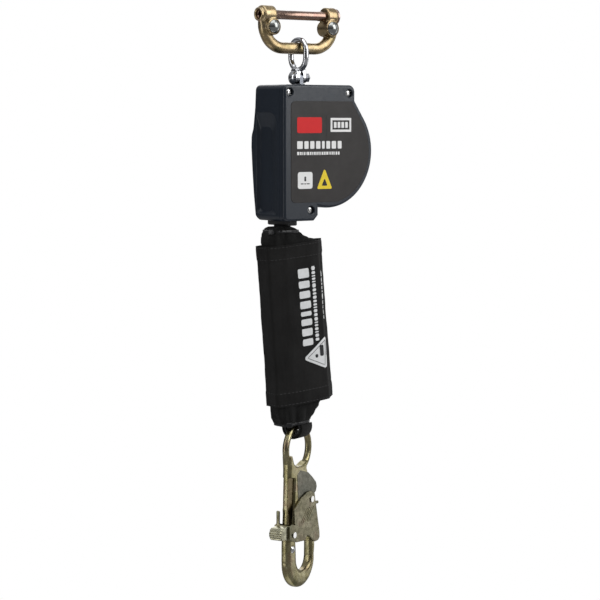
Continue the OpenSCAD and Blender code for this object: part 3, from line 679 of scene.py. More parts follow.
def make_bow():
    start = [(-BOW_ARM_X, 0, z) for z in (1, -3, -6)]
    turns = [math.radians(a) for a in range(0, 91, 9)]
    left = [(-19 - BOW_CORNER_R * math.cos(a), 0, -9 - BOW_CORNER_R * math.sin(a)) for a in turns]
    bottom = [(x, 0, -BOW_DROP) for x in (-12, -6, 0, 6, 12)]
    half = start + left
    path = half + bottom + [(-x, y, z) for x, y, z in reversed(half)]
    shape = Shape().sweep(path, squircle(5.4, 5.3, 2.3, 28))
    shape.rod("x", (0, 0, 0), -45, -31.2, 8.4, 1.4, 48)
    shape.rod("x", (0, 0, 0), -48.2, -40, 6.4, 0.7, 48)
    shape.rod("x", (0, 0, 0), 30.7, 42.2, 8.4, 1.2, 48)
    for side in (-1, 1):
        x, y, z = BUTTON_AT
        shape.rod("y", (side * x, y, z), -9, 7, 7.8, 1.0, 48)
        shape.rod("y", (side * x, y, z + 5), -5.4, 5.4, 5.6, 1.0, 32)
    bow = forged("bow", shape, "zinc_gold", 0.55, 5, 0.22)
    bore = Shape().lathe("x", (0, 0, 0), [
        (-60, 0), (-60, 5.5), (-48, 5.5), (-47.4, BORE_R), (42.1, BORE_R), (42.1, 7.4),
        (42.6, 8.0), (60, 8.0), (60, 0)])
    pockets = Shape()
    for side in (-1, 1):
        pockets.lathe("y", (side * BUTTON_AT[0], 0, BUTTON_AT[2]), [
            (-12, 0), (-12, 7.2), (-8.9, 6.7), (-8.5, 6.4), (-5.3, 6.4), (-5.3, 3.55), (5.5, 3.55), (5.5, 0)])
    carve(bow, bore, pockets)
    stand_for(shade(bow, 38), "connector_bow")


def make_pin():
    shape = Shape().lathe("x", (0, 0, 0), [
        (-41, 0), (-41, 2.8), (-45.6, 2.8), (-46, 3.1), (-46, 4.1), (-45.6, PIN_R), (-24.1, PIN_R),
        (-23.5, 4.3), (23.5, 4.3), (24.1, PIN_R), (42.6, PIN_R), (42.6, 7.2), (43.0, 7.6), (44.8, 7.6),
        (45.2, 7.2), (45.2, 5.4), (44.8, 5.0), (44.8, 0)], 64)
    stand_in("pin", shape, "pin_steel", 28, "connector_pin")


def make_buttons():
    for side, word in ((-1, "left"), (1, "right")):
        shape = Shape().lathe("y", (side * BUTTON_AT[0], 0, BUTTON_AT[2]), [
            (1, 0), (1, 3.1), (0.6, 3.5), (-8.4, 3.5), (-8.4, 5.9), (-8.7, 6.2), (-9.3, 6.2), (-9.6, 6.0),
            *dome(-9.7, -1, 5.9, 2.7, 10)], 48)
        stand_in(f"button_{word}", shape, "button_steel", 28, f"lock_button_{word}")


# ---- swivel ring and clevis ----

CLEVIS_Z = -58.5


def make_ring():
    bend_r, top_z, bottom_z = 11.5, -34.0, -39.4
    flat = arc((0, top_z), bend_r, 0, 180, 16) + arc((0, bottom_z), bend_r, 180, 360, 16)
    shape = Shape().sweep([(0, y, z) for y, z in flat], circle(2.7, 20), closed=True, up=(1, 0, 0))
    ears = arc((0, CLEVIS_Z), 5.3, 180, 360, 16) + [(5.3, -54.5), (4.4, -51.6), (3.2, -49.8),
                                                   (-3.2, -49.8), (-4.4, -51.6), (-5.3, -54.5)]
    shape.slab(ears, "x", -6, 6, 0.5)
    ring = forged("ring", shape, "chrome", 0.4, 4)
    hole = Shape().rod("x", (0, 0, CLEVIS_Z), -10, 10, 2.55, 0.1, 32)
    notch = Shape().slab([(-2.1, -70), (2.1, -70), *arc((0, -55.1), 2.1, 0, 180, 10)], "y", -8, 8, 0)
    carve(ring, notch, hole)
    stand_for(shade(ring, 38), "swivel_ring")


def make_clevis():
    centre = (0, 0, CLEVIS_Z)
    bolt = Shape().lathe("x", centre, [
        (12.3, 0), (12.3, 1.9), (11.8, 2.4), (11.4, 2.4), (11.3, 2.5), (-6.1, 2.5), (-6.1, 5.9), (-6.4, 6.3),
        (-7.4, 6.3), *dome(-7.6, -1, 6.1, 2.7, 10)], 48)
    stand_in("bolt", bolt, "chrome", 28, "clevis_bolt")
    nut = Shape().slab([(y, CLEVIS_Z + z) for y, z in circle(4.6, 6)], "x", 7.15, 11.15, 0.45)
    piece = link("nut", nut.mesh(), "chrome")
    carve(piece, Shape().rod("x", centre, 5, 14, 2.55, 0.1, 32))
    stand_for(shade(piece, 30), "clevis_nut")


# ---- housing ----

CASE_LEFT, CASE_TOP, CASE_BOTTOM, CASE_R = -36.8, -65.5, -193.4, 53.6
CASE_FRONT, SEAM_Y, WALL = -26.0, -18.0, 2.3
DRUM = (16.3, -128.0)
CORNER_R = 5.0
LUG, LUG_R = (42.2, -72.0), 6.5
TANGENT = 34.3
BLOCK_RIGHT, BLOCK_CHAMFER = 4.1, 5.0
SCREWS = ((-30.1, -72.7), (41.3, -73.4), (-4.8, -183.5))
CROWN = ((-60, 20.2), (-67, 20.2), (-87, 21.5), (-106.5, 24.5), (-113.5, 27.5), (-124, 27.8), (-148, 26.0),
         (-168, 24.0), (-188, 21.2), (-192, 19.0), (-200, 19.0))


def face_outline(d):
    """The housing's face in X and Z, pulled in by d all round."""
    flank = (DRUM[0] + (CASE_R - d) * math.cos(math.radians(TANGENT)),
             DRUM[1] + (CASE_R - d) * math.sin(math.radians(TANGENT)))
    flank_x = LUG[0] + LUG_R - d
    flank_z = flank[1] + (flank[0] - flank_x) / math.tan(math.radians(TANGENT))
    block_x = BLOCK_RIGHT - d
    round_end = -math.degrees(math.acos((block_x - DRUM[0]) / (CASE_R - d)))
    chamfer = BLOCK_CHAMFER - d * 0.6
    return (arc((CASE_LEFT + CORNER_R, CASE_TOP - CORNER_R), CORNER_R - d, 180, 90, 10)
            + arc(LUG, LUG_R - d, 90, 0, 12) + [(flank_x, flank_z)]
            + arc(DRUM, CASE_R - d, TANGENT, round_end, 72)
            + [(block_x, CASE_BOTTOM + d + chamfer), (block_x - chamfer, CASE_BOTTOM + d)]
            + arc((CASE_LEFT + CORNER_R, CASE_BOTTOM + CORNER_R), CORNER_R - d, 270, 180, 10))


def back_y(z):
    """How far back the crowned rear of the housing reaches at a height."""
    for (z0, y0), (z1, y1) in zip(CROWN, CROWN[1:]):
        if z >= z1:
            return lerp(y0, y1, (z0 - z) / (z0 - z1))
    return CROWN[-1][1]


def fillet(y, sign, radius):
    """(y, inset) pairs round an edge, from the side wall to the face at y."""
    return [(y - sign * radius * (1 - math.sin(a)), radius * (1 - math.cos(a))) for a in quarter_turn(6)]


def case_shell(levels):
    shape = Shape()
    shape.loft([[(x, y, z) for x, z in face_outline(d)] for y, d in levels])
    return shape


def screw_rods(low, high, radius):
    shape = Shape()
    for x, z in SCREWS:
        shape.rod("y", (x, 0, z), low, high, radius, 0.1, 32)
    return shape


def label_outline(d):
    """The label in X and Z: round left corners, and the housing's own curve on the right."""
    left, top, bottom, corner, margin = -29 + d, -81 - d, -176 + d, 5.0, 4.5 + d
    radius = CASE_R - margin
    start = -math.degrees(math.asin((DRUM[1] - bottom) / radius))
    right = LUG[0] + LUG_R - margin
    return (arc(DRUM, radius, start, TANGENT, 48) + [(right, top)]
            + arc((left + corner, top - corner), corner, 90, 180, 6)
            + arc((left + corner, bottom + corner), corner, 180, 270, 6))


def make_front_cover():
    levels = [(CASE_FRONT + WALL, WALL), (SEAM_Y - 0.05, WALL), (SEAM_Y - 0.05, 0.5), (SEAM_Y - 0.55, 0.0)]
    cover = link("front_shell", case_shell(levels + fillet(CASE_FRONT, -1, 2.4)).mesh(), "case")
    carve(cover, screw_rods(CASE_FRONT + 1.2, SEAM_Y - 0.05, 5.4), join=True)
    recess = Shape()
    for x, z in SCREWS:
        recess.lathe("y", (x, 0, z), [(-28, 0), (-28, 4.6), (-26.05, 4.6), (-25.5, 3.9), (-23.2, 3.9),
                                      (-23.2, 1.55), (-15, 1.55), (-15, 0)], 40)
    pocket = Shape().slab(label_outline(-0.25), "y", -28, CASE_FRONT + 0.3)
    carve(cover, recess, pocket)
    stand_for(shade(cover, 24, weighted=True), "front_cover")


def side_recess():
    """The cutter of the panel in the left side: a long slope at the front and top, short ones elsewhere."""
    rings = []
    for x, front, back, top, bottom, corner in (
            (-38.5, -15.6, 19.6, -90.0, -188.7, 13.0), (-36.55, -14.2, 18.2, -91.5, -187.3, 12.0),
            (-36.45, -13.8, 17.8, -92.0, -187.0, 12.0), (-33.5, -3.4, 15.2, -104.6, -184.6, 7.0),
            (-33.4, -2.8, 14.8, -105.2, -184.2, 6.6)):
        outline = (arc((back - 4, top - 4), 4, 0, 90, 5)
                   + arc((front + corner, top - corner), corner, 90, 180, 12)
                   + arc((front + 4, bottom + 4), 4, 180, 270, 5)
                   + arc((back - 4, bottom + 4), 4, 270, 360, 5))
        rings.append([(x, y, z) for y, z in outline])
    shape = Shape()
    shape.loft(rings)
    return shape


def make_rear_housing():
    flat_back = 20.0
    radius = 3.0
    levels = [(flat_back - WALL, WALL), (SEAM_Y, WALL), (SEAM_Y, 0.5), (SEAM_Y + 0.5, 0.0)]
    shape = case_shell(levels + fillet(flat_back, 1, radius))
    for z in [CASE_TOP - 1.5 - 2.5 * i for i in range(51)]:
        everything = shape.bm.verts[:] + shape.bm.edges[:] + shape.bm.faces[:]
        bmesh.ops.bisect_plane(shape.bm, geom=everything, plane_co=(0, 0, z), plane_no=(0, 0, 1))
    for vert in shape.bm.verts:
        stretch = (back_y(vert.co.z) - SEAM_Y) / (flat_back - SEAM_Y)
        vert.co.y = SEAM_Y + (vert.co.y - SEAM_Y) * stretch
    shell = link("rear_shell", shape.mesh(), "case")
    inner = screw_rods(SEAM_Y + 0.4, 18.6, 4.2)
    backing = Shape().slab(round_box(1.9, 17.8, 1.0, (-33.0, 0.1)), "z", -189.0, -89.5)
    carve(shell, inner, backing, join=True)
    stud = Shape().lathe("z", (0, 0, 0), [
        (-72, 0), (-72, 6.6), (-66.2, 6.6), (-65.4, 7.4), (-60, 7.4), (-60, 0)], 48)
    slot = Shape().slab(round_box(4.1, 15.1, 1.0, (WEB_X, 0)), "z", -200, -185)
    carve(shell, stud, slot, side_recess(), screw_rods(SEAM_Y - 1, -5, 1.55))
    stand_for(shade(shell, 24, weighted=True), "rear_housing")


def make_label():
    shape = Shape().slab(label_outline(0), "y", CASE_FRONT - 0.2, CASE_FRONT + 0.2, 0.12)
    stand_in("label_plate", shape, "label", 30, "front_label")


def print_marks(name, finish, marks):
    """Thin raised marks on the label: each is an outline in X and Z."""
    shape = Shape()
    for outline in marks:
        shape.slab(outline, "y", CASE_FRONT - 0.32, CASE_FRONT - 0.15, 0.03)
    add_detail(name, shape, finish, 30, "front_label")


def rounded_polygon(corners, radius):
    """A convex polygon, anticlockwise, with round corners."""
    points = []
    count = len(corners)
    for i in range(count):
        before, here, after = (Vector(corners[(i + k) % count]) for k in (-1, 0, 1))
        into, away = (here - before).normalized(), (after - here).normalized()
        half = into.angle(away) / 2
        middle = here + (away - into).normalized() * radius / math.cos(half)
        start = math.degrees(math.atan2(-into.x, into.y))
        points += arc(middle, radius, start, start + 2 * math.degrees(half), 4)
    return points


def bar_row(x, z, widths, height, gap, radius):
    """A row of plain rounded blocks, standing for a line of print."""
    marks = []
    for width in widths:
        corner = min(radius, width / 2 - 0.01)
        marks.append(round_box(width / 2, height / 2, corner, (x + width / 2, z)))
        x += width + gap
    return marks


# A line's blocks, in the order of the print: widths in millimetres
WIDE_LINE = (6.6, 5.0, 5.0, 5.2, 3.2, 4.6, 5.2, 4.8)
FINE_LINE = (2.6, 1.8, 0.9, 1.4, 0.9, 2.6, 1.8, 1.4, 2.0, 1.6, 1.4,
             0.9, 2.0, 1.8, 2.2, 0.9, 1.4, 1.8, 0.9, 2.0, 1.8)


def make_label_print():
    left = -22.0
    print_marks("label_red_block", "red_ink", [round_box(14.8, 7.4, 1.6, (-7.2, -103.4))])
    white = bar_row(left, -122.0, WIDE_LINE, 7.2, 2.0, 0.9)
    white += bar_row(left, -129.9, FINE_LINE, 3.0, 0.85, 0.4)
    white.append(round_box(8.8, 7.9, 2.4, (-12.4, -155.2)))
    frame_x, frame_z, frame_a, frame_b = 30.8, -103.2, 12.6, 6.6
    for dx, dz, a, b in ((0, frame_b - 1.1, frame_a, 1.1), (0, 1.1 - frame_b, frame_a, 1.1),
                         (frame_a - 1.1, 0, 1.1, frame_b - 2.15), (1.1 - frame_a, 0, 1.1, frame_b - 2.15)):
        white.append(round_box(a, b, 0.3, (frame_x + dx, frame_z + dz)))
    white += bar_row(frame_x - 8.6, frame_z, (3.2, 3.2, 3.2, 3.2), 5.6, 1.4, 0.5)
    print_marks("label_white_print", "white_ink", white)
    print_marks("label_divider", "thread", [round_box(0.35, 11, 0.2, (13.3, -103.4))])
    warn = [(1.6, -163.6), (20.2, -163.6), (10.9, -143.9)]
    print_marks("label_yellow_triangle", "yellow_ink", [rounded_polygon(warn, 1.2)])
    shape = Shape()
    for outline in (rounded_polygon([(7.4, -160.6), (14.4, -160.6), (10.9, -153.2)], 0.8),
                    *bar_row(-17.6, -158.4, (3.2, 2.2, 3.4), 0.9, 0.8, 0.3),
                    *bar_row(-13.4, -153.8, (2.0,), 4.4, 0, 0.4)):
        shape.slab(outline, "y", CASE_FRONT - 0.38, CASE_FRONT - 0.25, 0.03)
    add_detail("label_dark_print", shape, "dark_ink", 30, "front_label")


PAYOUT, DRUM_TURNS = 1800, 8
ROLL_R = PAYOUT / (math.tau * DRUM_TURNS)
WEB_X = DRUM[0] - ROLL_R


def make_nozzle():
    levels = [(-198, 4.4, 16.0), (-197.6, 5.0, 16.6), (-197.2, 5.2, 16.8), (-194.0, 5.2, 16.8),
              (-193.45, 4.7, 16.3), (-193.45, 4.0, 15.0), (-188.9, 4.0, 15.0), (-188.9, 1.45, 13.1),
              (-197.2, 1.45, 13.1), (-198, 2.3, 14.0)]
    rings = [[(x, y, z) for x, y in round_box(a, b, min(1.3, a * 0.7), (WEB_X, 0))]
             for z, a, b in levels]
    stand_in("nozzle", Shape().tube(rings), "nozzle", 30, "web_nozzle")


# ---- web, tear pack and covers ----

# The pack hangs from its neck with a lean
LEAN = math.radians(5)
NECK_X = -11.3
PACK = Matrix.Translation(Vector((-8.2, 0, -214)) * MM) @ Matrix.Rotation(-LEAN, 4, "Y")
STRAND = (DRUM[1], -220.2)


def folded_cloth(name, node, path, half_width, thick, finish="webbing", place=None, up=(0, 1, 0)):
    """Cloth laid along a path in place of a CAD node."""
    shape = Shape()
    length = shape.ribbon(path, half_width, thick, up)
    piece = stand_in(name, shape, finish, 40, node, place)


WEB_HALF, WEB_THICK = 12.5, 1.7


def make_web():
    shape = Shape()
    length = shape.ribbon([(WEB_X, 0, lerp(*STRAND, i / 220)) for i in range(221)],
                          WEB_HALF, WEB_THICK)
    strand = link("web", shape.mesh(), "live_webbing")
    shade(strand, 40)
    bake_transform(strand)
    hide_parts("web_strand")
    inner, outer, pitch = 14.95, ROLL_R - 0.95, 1.73
    turns = (outer - inner) / pitch
    steps = int(turns * 40)
    path = []
    for i in range(steps + 1):
        a = math.pi - math.tau * turns * (1 - i / steps)
        radius = lerp(inner, outer, i / steps)
        path.append((DRUM[0] + radius * math.cos(a), 0, DRUM[1] + radius * math.sin(a)))
    folded_cloth("rolled_web", "web_roll", path, 12.4, 1.6)


def make_tear_pack():
    """The tear web, folded back and forth on itself."""
    low, high, pitch, folds = -147.5, -8.5, 1.98, 23
    path = []
    for i in range(folds):
        x = (i - (folds - 1) / 2) * pitch
        climb = i % 2 == 0
        path += [(x, 0, lerp(low, high, t if climb else 1 - t)) for t in (0, 0.25, 0.5, 0.75, 1)]
        if i < folds - 1:
            turn_x, turn_z, sign = x + pitch / 2, high if climb else low, 1 if climb else -1
            path += [(turn_x - pitch / 2 * math.cos(a), 0, turn_z + sign * pitch / 2 * math.sin(a))
                     for a in (0.6, 1.57, 2.54)]
    folded_cloth("folded_web", "tear_pack", path, 11.2, 1.55, place=PACK)


def table_at(table, z):
    """Reads a table of (z, values...) rows, highest first, easing from row to row."""
    if z >= table[0][0]:
        return table[0][1:]
    for upper, lower in zip(table, table[1:]):
        if z >= lower[0]:
            t = smooth_step((upper[0] - z) / (upper[0] - lower[0]))
            return tuple(lerp(a, b, t) for a, b in zip(upper[1:], lower[1:]))
    return table[-1][1:]


# Height, middle, half width, half depth and depth of the gathers
COVER = (
    (15.6, -12.9, 9.6, 11.2, 0.3), (14.8, -12.6, 12.4, 13.0, 0.5), (12.6, -12.0, 15.2, 13.8, 0.7),
    (8.0, -10.4, 20.0, 14.0, 0.9), (4.5, -7.8, 24.4, 14.0, 0.9), (1.8, -3.6, 29.4, 13.4, 0.6),
    (-3.0, -1.0, 31.4, 12.6, 0.4), (-10.0, 0.0, 31.4, 12.0, 0.0), (-138.0, 0.0, 31.4, 12.0, 0.0),
    (-146.0, -3.4, 30.8, 12.8, 0.4), (-152.0, -7.0, 28.4, 13.2, 0.7), (-160.0, -10.0, 25.6, 13.6, 1.0),
    (-166.0, -12.4, 22.4, 13.8, 1.1), (-170.5, -14.4, 18.8, 13.6, 0.8), (-174.0, -15.0, 16.2, 12.8, 0.5),
    (-177.0, -14.2, 13.4, 11.4, 0.8), (-178.6, -12.8, 10.6, 9.0, 0.5),
)
# The cloth between two neighbouring points round the cover
COVER_STEP = 1.75
# Middle in X and Z, half width, half height and depth
DENTS = ((-20.0, 4.0, 3.4, 5.5, 2.6), (-2.0, 5.5, 4.0, 6.0, 1.3), (-19.0, -168.0, 3.2, 7.0, 2.2),
         (-5.0, -163.0, 3.6, 8.0, 1.5), (-30.0, -160.0, 3.0, 8.0, 1.2))


def cover_ring(z, out=0.0, sides=128, pleat=1.0):
    """A section through the inner cover, gathered at its neck and foot. Its neck lies level."""
    middle, half_x, half_y, gather = table_at(COVER, z)
    level = smooth_step((z + 6) / 14) * math.tan(LEAN)
    ring = []
    for j, (x, y) in enumerate(squircle(half_x + out, half_y + out, 3.0, sides)):
        a = math.tau * j / sides
        fold = math.cos(13 * a + 1.6 * math.sin(3 * a))
        fold += 0.5 * noise.noise((8 * math.cos(a), 8 * math.sin(a), z * 0.12))
        depth = pleat * gather * 0.5 * (1 - fold)
        depth -= pleat * (0.1 + gather) * noise.noise((x * 0.06, y * 0.09, z * 0.07))
        if y < 0:
            for at_x, at_z, wide, tall, deep in DENTS:
                depth += deep * math.exp(-((middle + x - at_x) / wide) ** 2 - ((z - at_z) / tall) ** 2)
        k = 1 - depth / math.hypot(x, y)
        ring.append((middle + x * k, y * k, z - (middle + x * k - NECK_X) * level))
    return ring


def make_inner_cover():
    top, step = COVER[0][0], 1.27
    levels = [top - step * i for i in range(151)]
    rings = [cover_ring(z) for z in levels] + [cover_ring(z, -0.6) for z in reversed(levels)]
    run = [top - z for z in levels]
    run += run[::-1]
    shape = Shape().tube(rings, lambda i, j: (j * COVER_STEP, run[i % len(run)]))
    cover = stand_in("gathered_cover", shape, "lining", 60, "inner_cover", PACK)


def make_tie(name, node, z, head):
    """A cable tie drawn tight round the gathers, with its lock and its cut tail."""
    path = cover_ring(z, -0.1, 96, 0.6)
    shape = Shape().sweep(path, round_box(0.7, 1.3, 0.4, steps=2), closed=True, up=(0, 0, 1))
    x, y, turn = head
    across = Matrix.Rotation(math.radians(turn), 2)
    rise = z - (x - NECK_X) * math.tan(LEAN) if z > 0 else z
    for half_a, half_b, middle, half_z in ((1.5, 2.6, (0, 0), 2.3), (2.4, 0.6, (-0.6, -2.3), 1.5)):
        outline = [tuple(Vector((x, y)) + across @ Vector(p)) for p in round_box(half_a, half_b, 0.5, middle)]
        shape.slab(outline, "z", rise - half_z, rise + half_z, 0.3)
    stand_in(name, shape, "tie_plastic", 35, node, PACK)


# ---- outer sleeve ----

SLEEVE_TOP, SLEEVE_BOTTOM = -1.0, -155.0
HEM = 14.0
SLEEVE_FRONT = ((-33.6, -6.4), (-27, -9.9), (-18, -12.9), (-4, -13.9), (10, -14.0), (21, -13.0))
FOLD = (34.2, 0.4)
SLEEVE_PLAN = [*arc(FOLD, 0.9, -62, 62, 6), (21.5, 12.6), (0, 14.0), *arc((-29.8, 10.2), 3.8, 92, 172, 6),
               *arc((-31.8, -5.6), 2.2, 184, 236, 5), *SLEEVE_FRONT[1:]]


def resample(outline, count):
    """A closed outline as count points, evenly spaced from its first one."""
    ends = [*outline, outline[0]]
    marks = [0.0]
    for a, b in zip(ends, ends[1:]):
        marks.append(marks[-1] + math.dist(a, b))
    points, k = [], 0
    for i in range(count):
        want = marks[-1] * i / count
        while marks[k + 1] < want:
            k += 1
        t = (want - marks[k]) / (marks[k + 1] - marks[k])
        points.append((lerp(ends[k][0], ends[k + 1][0], t), lerp(ends[k][1], ends[k + 1][1], t)))
    return points, marks[-1]


SLEEVE_BASE, SLEEVE_GIRTH = resample(SLEEVE_PLAN, 132)


def sleeve_width(z):
    """How many times its top width the sleeve has grown to by a height."""
    return 1 + 0.036 * (SLEEVE_TOP - z) / (SLEEVE_TOP - SLEEVE_BOTTOM)


def sleeve_swell(x, y, z):
    """How far the sleeve's skin stands out from its plan: soft folds, drag lines and thick hems."""
    edge = min(SLEEVE_TOP - z, z - SLEEVE_BOTTOM)
    swell = 0.3 + 0.6 * noise.noise((x * 0.035, y * 0.05, z * 0.014 + 3.1))
    swell += 0.45 * noise.noise((x * 0.08 + z * 0.03, y * 0.09, z * 0.045 - x * 0.02))
    swell += 0.12 * noise.noise((x * 0.3, y * 0.3, z * 0.2))
    pucker = math.exp(-((edge - HEM) / 4) ** 2)
    swell += pucker * 0.4 * noise.noise((x * 0.33, y * 0.33, z * 0.03 + 8))
    hem = smooth_step((HEM + 0.7 - edge) / 0.7)
    groove = math.exp(-((edge - HEM + 1.1) / 0.55) ** 2) + math.exp(-((edge - 1.6) / 0.5) ** 2)
    return swell + 0.5 * hem - 0.22 * groove


def sleeve_ring(z, out=0.0):
    k = sleeve_width(z)
    count = len(SLEEVE_BASE)
    ring = []
    for j, (x, y) in enumerate(SLEEVE_BASE):
        (x0, y0), (x1, y1) = SLEEVE_BASE[j - 1], SLEEVE_BASE[(j + 1) % count]
        normal = Vector((y1 - y0, x0 - x1)).normalized()
        # The inner skin comes closer to the outer one towards the fold
        thin = lerp(1, 0.45, min(1, (x - 26) / 8)) if out < 0 and x > 26 else 1
        rise = sleeve_swell(x, y, z) + out * thin
        ring.append((x * k + normal.x * rise, y + normal.y * rise, z))
    return ring


def sleeve_front(x, z):
    """Where the sleeve's front skin is, across the flat of its front."""
    x /= sleeve_width(z)
    line = (*SLEEVE_FRONT, (FOLD[0] + 0.4, FOLD[1] - 0.8))
    for (x0, y0), (x1, y1) in zip(line, line[1:]):
        if x <= x1:
            y = lerp(y0, y1, (x - x0) / (x1 - x0))
            break
    return y - sleeve_swell(x, y, z) * math.hypot(1, (y1 - y0) / (x1 - x0))


def make_outer_sleeve():
    count = 116
    levels = [lerp(SLEEVE_TOP, SLEEVE_BOTTOM, i / count) for i in range(count + 1)]
    rings = [sleeve_ring(z) for z in levels] + [sleeve_ring(z, -1.1) for z in reversed(levels)]
    step = SLEEVE_GIRTH / len(SLEEVE_BASE)
    run = levels + levels[::-1]
    shape = Shape().tube(rings, lambda i, j: (j * step, run[i % len(run)]))
    sleeve = stand_in("canvas_sleeve", shape, "pack_fabric", 60, "outer_sleeve", PACK)


THREAD_R = 0.3


def stitch(shape, start, end):
    """One thread between two holes, sunk at its ends."""
    a, b = Vector(start), Vector(end)
    path = [lerp(a, b, t) for t in (0, 0.2, 0.8, 1)]
    forward = (b - a).normalized()
    side = forward.orthogonal().normalized()
    top = forward.cross(side)
    rings = []
    for p, r in zip(path, (0.35, 1, 1, 0.35)):
        rings.append([p + (side * math.cos(t) + top * math.sin(t)) * THREAD_R * r
                      for t in (0, 1.047, 2.094, 3.142, 4.189, 5.236)])
    shape.loft(rings)


def make_stitches():
    shape = Shape()
    for z in (SLEEVE_TOP - HEM + 1.1, SLEEVE_BOTTOM + HEM - 1.1, SLEEVE_TOP - 1.7, SLEEVE_BOTTOM + 1.7):
        ring = sleeve_ring(z, 0.06)
        for j in range(0, len(ring) - 2, 3):
            stitch(shape, ring[j], ring[j + 2])
    add_detail("sleeve_stitches", shape, "thread", 40, "outer_sleeve", PACK)


def span(outline, z):
    """The left and right ends of a convex outline at a height."""
    found = []
    for (x0, z0), (x1, z1) in zip(outline, outline[1:] + outline[:1]):
        if min(z0, z1) <= z <= max(z0, z1) and z0 != z1:
            found.append(lerp(x0, x1, (z - z0) / (z1 - z0)))
    return min(found), max(found)


def cloth_mark(shape, outline, proud=0.16):
    """Ink on the sleeve's front: a convex outline in X and Z, following the cloth."""
    low, high = min(z for x, z in outline) + 0.02, max(z for x, z in outline) - 0.02
    rows = max(3, int((high - low) / 1.1))
    rings = []
    for i in range(rows + 1):
        z = lerp(low, high, i / rows)
        left, right = span(outline, z)
        row = [lerp(left, right, j / 14) for j in range(15)]
        rings.append([(x, sleeve_front(x, z) - proud, z) for x in row]
                     + [(x, sleeve_front(x, z) + 0.15, z) for x in reversed(row)])
    shape.loft(rings)


def column(x, half, top, heights, gap):
    """Plain blocks one under another, standing for a line of print that runs down the sleeve."""
    marks = []
    for height in heights:
        marks.append(round_box(half, height / 2, min(0.9, height / 2 - 0.05), (x, top - height / 2)))
        top -= height + gap
    return marks


def make_sleeve_print():
    """Plain blocks for the lines of print, and a warning triangle with a plain mark in it."""
    shape = Shape()
    marks = column(0.4, 6.4, -25.5, [1.36 * w for w in WIDE_LINE], 2.9)
    marks += column(12.2, 2.3, -24.5, [1.5 * w for w in FINE_LINE], 1.05)
    marks += column(26.0, 2.5, -31, [2.1 * w for w in FINE_LINE[:10]], 1.2)
    triangle = [(-6.8, -112.0), (21.6, -125.4), (24.8, -92.4)]
    marks.append(rounded_polygon(triangle, 2.2))
    for outline in marks:
        cloth_mark(shape, outline)
    add_detail("sleeve_print", shape, "cloth_ink", 60, "outer_sleeve", PACK)
    shape = Shape()
    rim = inset(triangle, 2.6)
    for a, b in zip(rim, rim[1:] + rim[:1]):
        a, b = Vector(a), Vector(b)
        across = (b - a).normalized().orthogonal() * 0.22
        cloth_mark(shape, [tuple(p) for p in (a - across, b - across, b + across, a + across)], 0.3)
    for outline in (*column(16.4, 2.4, -101.5, [10.6], 0), *column(9.6, 1.7, -109.4, [3.4], 0)):
        cloth_mark(shape, outline, 0.3)
    add_detail("sleeve_print_marks", shape, "dark_ink", 60, "outer_sleeve", PACK)


# ---- hook ----

HOOK = Matrix.Translation(Vector((-1.6, 0, -414)) * MM) @ Matrix.Rotation(math.radians(22), 4, "Z")
EYE_R, EYE_BAR = 21.5, 3.3
EYE_AT = (0, EYE_R)
HOOK_HALF = 4.75
FORGED_CORNERS = 3.4
BOWL, BOWL_R = (6.0, -106.5), 13.5
HEEL, HEEL_R = (0.5, -110.0), 25.5
GATE_AT, LEVER_AT, RIVET_AT = (17.0, -51.6), (-20.5, -80.4), (-16.5, -95.5)
PIVOT_R = 2.0
SHEET_EDGE = 0.1


def make_hook_loop():
    """The web loop round the eye, its two ends laid together and sewn."""
    radius = 7.95
    bend = arc(EYE_AT, radius, 8, -188, 30)
    right = [(lerp(2.1, bend[0][0], t), lerp(EYE_R + 26.5, bend[0][1], t))
             for t in (0, 0.15, 0.3, 0.5, 0.7, 0.85)]
    flat = right + bend + [(-y, z) for y, z in reversed(right)]
    wrap = arc(EYE_AT, 10.35, 20, -200, 40)
    folded_cloth("sewn_loop", "hook_loop", [(0, y, z) for y, z in flat], 9.9, 2.3,
                 place=HOOK, up=(1, 0, 0))
    folded_cloth("wear_guard", "loop_guard", [(0, y, z) for y, z in wrap], 10, 2.2,
                 "pack_fabric", HOOK, (1, 0, 0))


def hook_hole(place, radius, low=-20, high=20):
    return Shape().rod("y", (place[0], 0, place[1]), low, high, radius, 0.02, 32)


def pivot_hole(place):
    return hook_hole(place, PIVOT_R + 0.05)


def hook_bowl(shape):
    """The bowl, swept round its own middle while its outside follows the heel."""
    rings = []
    for i in range(37):
        a = math.radians(lerp(177, 363, i / 36))
        c, s = math.cos(a), math.sin(a)
        dx, dz = BOWL[0] - HEEL[0], BOWL[1] - HEEL[1]
        half_b = dx * c + dz * s
        reach = -half_b + math.sqrt(half_b ** 2 - dx * dx - dz * dz + HEEL_R ** 2)
        middle, half = (BOWL_R + reach) / 2, (reach - BOWL_R) / 2
        rings.append([(BOWL[0] + (middle + u) * c, v, BOWL[1] + (middle + u) * s)
                      for u, v in squircle(half, HOOK_HALF, FORGED_CORNERS, 32)])
    shape.loft(rings)


def level_loft(shape, table):
    """A bar drawn as (height, left, right) rows."""
    shape.loft([[((a + b) / 2 + u, v, z) for u, v in squircle((b - a) / 2, HOOK_HALF, FORGED_CORNERS, 32)]
                for z, a, b in table])


